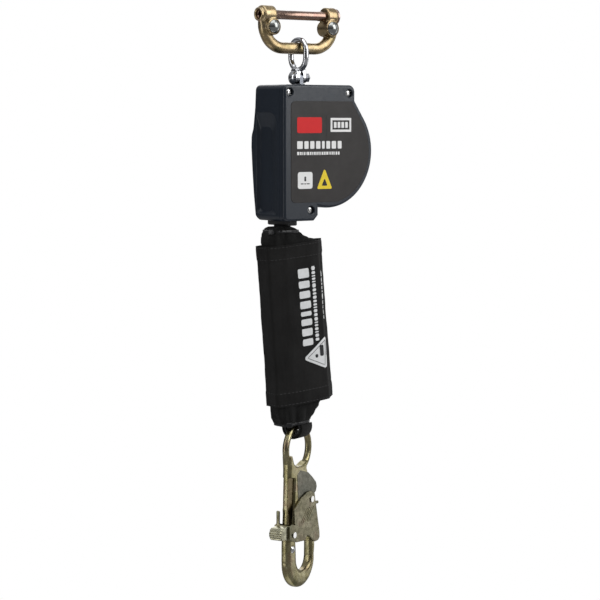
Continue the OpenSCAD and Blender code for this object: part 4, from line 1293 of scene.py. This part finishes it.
def make_hook():
    shape = Shape().lathe("y", (0, 0, 0), [(v, EYE_R + u) for u, v in circle(EYE_BAR, 20)], 96)
    level_loft(shape, ((-5, -21.5, -15.5), (-10, -21.4, -13), (-20, -21.3, -8), (-30, -21.4, -6),
                       (-44, -22.0, -8.5), (-58, -22.8, -11), (-70, -23.6, -10.6), (-80, -24.3, -10),
                       (-90, -24.8, -8.8), (-98, -25.0, -7.9), (-107, -25.1, -7.5)))
    level_loft(shape, ((-107.5, 19.4, 25.8), (-102, 19.4, 26.8), (-98, 19.4, 27.2), (-93, 19.4, 26.9),
                       (-89.6, 20.0, 26.1), (-87.8, 21.0, 25.0), (-86.9, 22.2, 24.0)))
    hook_bowl(shape)
    shoulder = [(-19, -9), (-20.9, -30), (-12.5, -62), (-6, -61.5), (2, -58.8), (17, -58), (24, -47.2),
                (28.3, -45.2), (29.5, -41), (28, -36.8), (20, -30.4), (13.6, -25.8), (11.2, -20),
                (13.6, -13.4), (4, -17.2), (-6, -17.2)]
    shape.slab(shoulder, "y", -HOOK_HALF, HOOK_HALF, 1.1)
    shape.rod("y", (GATE_AT[0], 0, GATE_AT[1]), -HOOK_HALF, HOOK_HALF, 6.8, 0.8, 40)
    hook = forged("hook", shape, "hook_zinc", 0.5, 3, 0.06)
    outline = rounded_polygon([(-23.4, -73.2), (-15.2, -73.2), (-12.4, -52), (-10.6, -27.5),
                               (-21.4, -25.5)], 1.6)
    walls = ((6.5, -1.2), (4.7, -0.5), (2.6, 0.3))
    channel = []
    # The channel's floors are thin dark sheets: painted shade, for the shade and dark reflection in the
    # recess
    lining = Shape()
    for side in (-1, 1):
        cut = Shape()
        cut.loft([[(x, side * y, z) for x, z in inset(outline, d)] for y, d in walls])
        channel.append(cut)
        lining.slab(inset(outline, 0.1), "y", *sorted((side * 2.3, side * 2.8)))
    pocket = hook_hole(GATE_AT, 4.4, -9, -2.5)
    carve(hook, *channel, pocket, pivot_hole(GATE_AT), pivot_hole(LEVER_AT), hook_hole(RIVET_AT, 3.05))
    hook.data.transform(HOOK)
    stand_for(shade(hook, 34), "hook_body")
    add_piece(link("hook_channel_painted_shade", lining.mesh(HOOK), "channel_shade_zinc"), "hook_body")


def cheeks(shape, outline, inner, outer, bevel=SHEET_EDGE):
    for low, high in ((-outer, -inner), (inner, outer)):
        shape.slab(outline, "y", low, high, bevel)


def make_gate():
    shape = Shape()
    cheeks(shape, [(13, -88), (23, -94.8), (30, -94.4), (32.8, -92), (32.6, -86), (25.5, -58), (23, -47),
                   (17, -43.6), (9, -43.4), (-2, -47), (-17, -57), (-16, -70), (-12, -78), (0, -81.5)],
           5.2, 6.6)
    shape.slab([(30.6, -84), (32.1, -84), (25.8, -58), (24.4, -57.5)], "y", -6.5, 6.5, 0.1)
    shape.rod("x", (0, -4.6, -57), 23.5, 32.0, 1.5, 0.5, 24)
    gate = forged("gate_cover", shape, "gate_zinc", 0.34, 3, 0.05)
    half = 0.45
    grooves = []
    for side in (-1, 1):
        groove = Shape()
        for x in (2, 6, 10, 14):
            left, right = x - 6.5, x + 6.5
            outline = [(left + half, -72 - half), (right + half, -59 - half),
                       (right - half, -59 + half), (left - half, -72 + half)]
            groove.slab(outline, "y", side * 6.9 - 0.6, side * 6.9 + 0.6)
        grooves.append(groove)
    carve(gate, *grooves, pivot_hole(GATE_AT))
    gate.data.transform(HOOK)
    stand_for(shade(gate, 36), "gate")


def make_side_plates():
    """The dark plates that cover the gate's spring on both sides of the body."""
    shape = Shape()
    plate = [(-8, -24.5), (-3, -20.5), (12.5, -24.6), (20.4, -30), (28.3, -36.6), (29.7, -41), (28, -45.5),
             (20, -50), (8, -48), (0, -58), (-5.5, -58.5)]
    cheeks(shape, plate, 4.5, 5.05, 0.15)
    add_detail("hook_side_plates", shape, "cover_zinc", 30, "hook_body", HOOK)


def make_lever():
    shape = Shape()
    cheeks(shape, [(-28.6, -84.5), (-15, -88.5), (1, -89.5), (6, -84.5), (4, -79.5), (-14, -72.5),
                   (-24, -69.5), (-28.6, -70.5)], 7.1, 8.5)
    shape.slab([(-29, -84.5), (-27.4, -84.5), (-27.4, -70.5), (-29, -70.5)], "y", -8.4, 8.4, 0.1)
    shape.slab([(-28.8, -71.5), (-27.4, -71.5), (-27.2, -58), (-28.0, -56.6), (-28.6, -58)],
               "y", 2.9, 6.6, 0.3)
    lever = forged("thumb_lever", shape, "gate_zinc", 0.34, 2, 0.05)
    carve(lever, pivot_hole(LEVER_AT))
    lever.data.transform(HOOK)
    stand_for(shade(lever, 36), "lock_lever")


def make_thumb_pad():
    """The lever's pad, bulging to the left, with ridges across it."""
    middle_z, half_z, bulge, ridge, pitch = -77.5, 6.6, 5.5, 0.4, 2.3
    ridges = []
    for i in range(45):
        z = lerp(-71.7, -83.3, i / 44)
        share = math.sqrt(max(0.0, 1 - ((z - middle_z) / half_z) ** 2))
        ridges.append((-36.8 - bulge * share - ridge * math.cos(math.tau * (z - middle_z) / pitch), z))
    shape = Shape().slab([(-28.3, -84), (-28.3, -71.1), *ridges], "y", -6.5, 6.5, 0.6)
    add_detail("thumb_pad", shape, "pad_zinc", 36, "lock_lever", HOOK)


# ---- coil springs ----

def coil(shape, centre, radius, wire, low, high, turns):
    """A closed coil about an axis along Y."""
    steps = int(turns * 20)
    path = []
    for i in range(steps + 1):
        a = math.tau * turns * i / steps
        path.append((centre[0] + radius * math.cos(a), lerp(low + wire, high - wire, i / steps),
                     centre[1] + radius * math.sin(a)))
    shape.sweep(path, circle(wire, 8), up=(0, 1, 0))


def make_springs():
    shape = Shape()
    for side in (-1, 1):
        coil(shape, (side * BUTTON_AT[0], BUTTON_AT[2]), 2.6, 0.3, 4.2, 5.45, 2)
    stand_in("button_springs", shape, "spring_steel", 50, "lock_springs")
    shape = Shape()
    for side in (-1, 1):
        coil(shape, (DRUM[0], DRUM[1] + side * 26), 2.5, 0.28, -16.7, -15.1, 2.5)
    stand_in("pawl_coils", shape, "spring_steel", 50, "pawl_springs")
    for name, node, place, radius, low, high in (("gate_coil", "gate_spring", GATE_AT, 3.3, -4.7, -2.6),
                                                 ("lever_coil", "lever_spring", LEVER_AT, 2.9, -7.0, -4.85)):
        shape = Shape()
        coil(shape, place, radius, 0.4, low, high, 2.5)
        stand_in(name, shape, "spring_steel", 50, node, HOOK)


# ---- the CAD parts that keep their shape ----

# All are stud_steel but these
CAD_FINISHES = {
    "bronze": ("swivel_bush", "thrust_washer", "shaft_bushes", "pawl_one", "pawl_two"),
    "frame_steel": ("anchor_block", "frame_front_plate", "frame_rear_plate", "ratchet_ring"),
    "screw_steel": ("cover_screws", "frame_rivets", "guide_bars", "drum_shaft", "web_anchor_pin",
                    "pawl_pins", "gate_pin", "lever_pin", "hook_rivet"),
    "spring_steel": ("power_spring",),
    "drum_alloy": ("drum_hub", "drum_front_flange", "drum_rear_flange"),
}


def finish_cad_nodes():
    finish_of = {node: finish for finish, nodes in CAD_FINISHES.items() for node in nodes}
    for name, node in frame["nodes"].items():
        node.data.materials.clear()
        node.data.materials.append(M[finish_of.get(name, "stud_steel")])


finish_cad_nodes()
make_bow()
make_pin()
make_buttons()
make_ring()
make_clevis()
make_front_cover()
make_rear_housing()
make_label()
make_label_print()
make_nozzle()
make_web()
make_tear_pack()
make_inner_cover()
make_tie("neck_tie", "cover_tie_top", 11.4, (-29.0, -7.6, 25))
make_tie("foot_tie", "cover_tie_bottom", -173.0, (-26.4, -11.2, 50))
make_outer_sleeve()
make_stitches()
make_sleeve_print()
make_hook_loop()
make_hook()
make_gate()
make_side_plates()
make_lever()
make_thumb_pad()
make_springs()
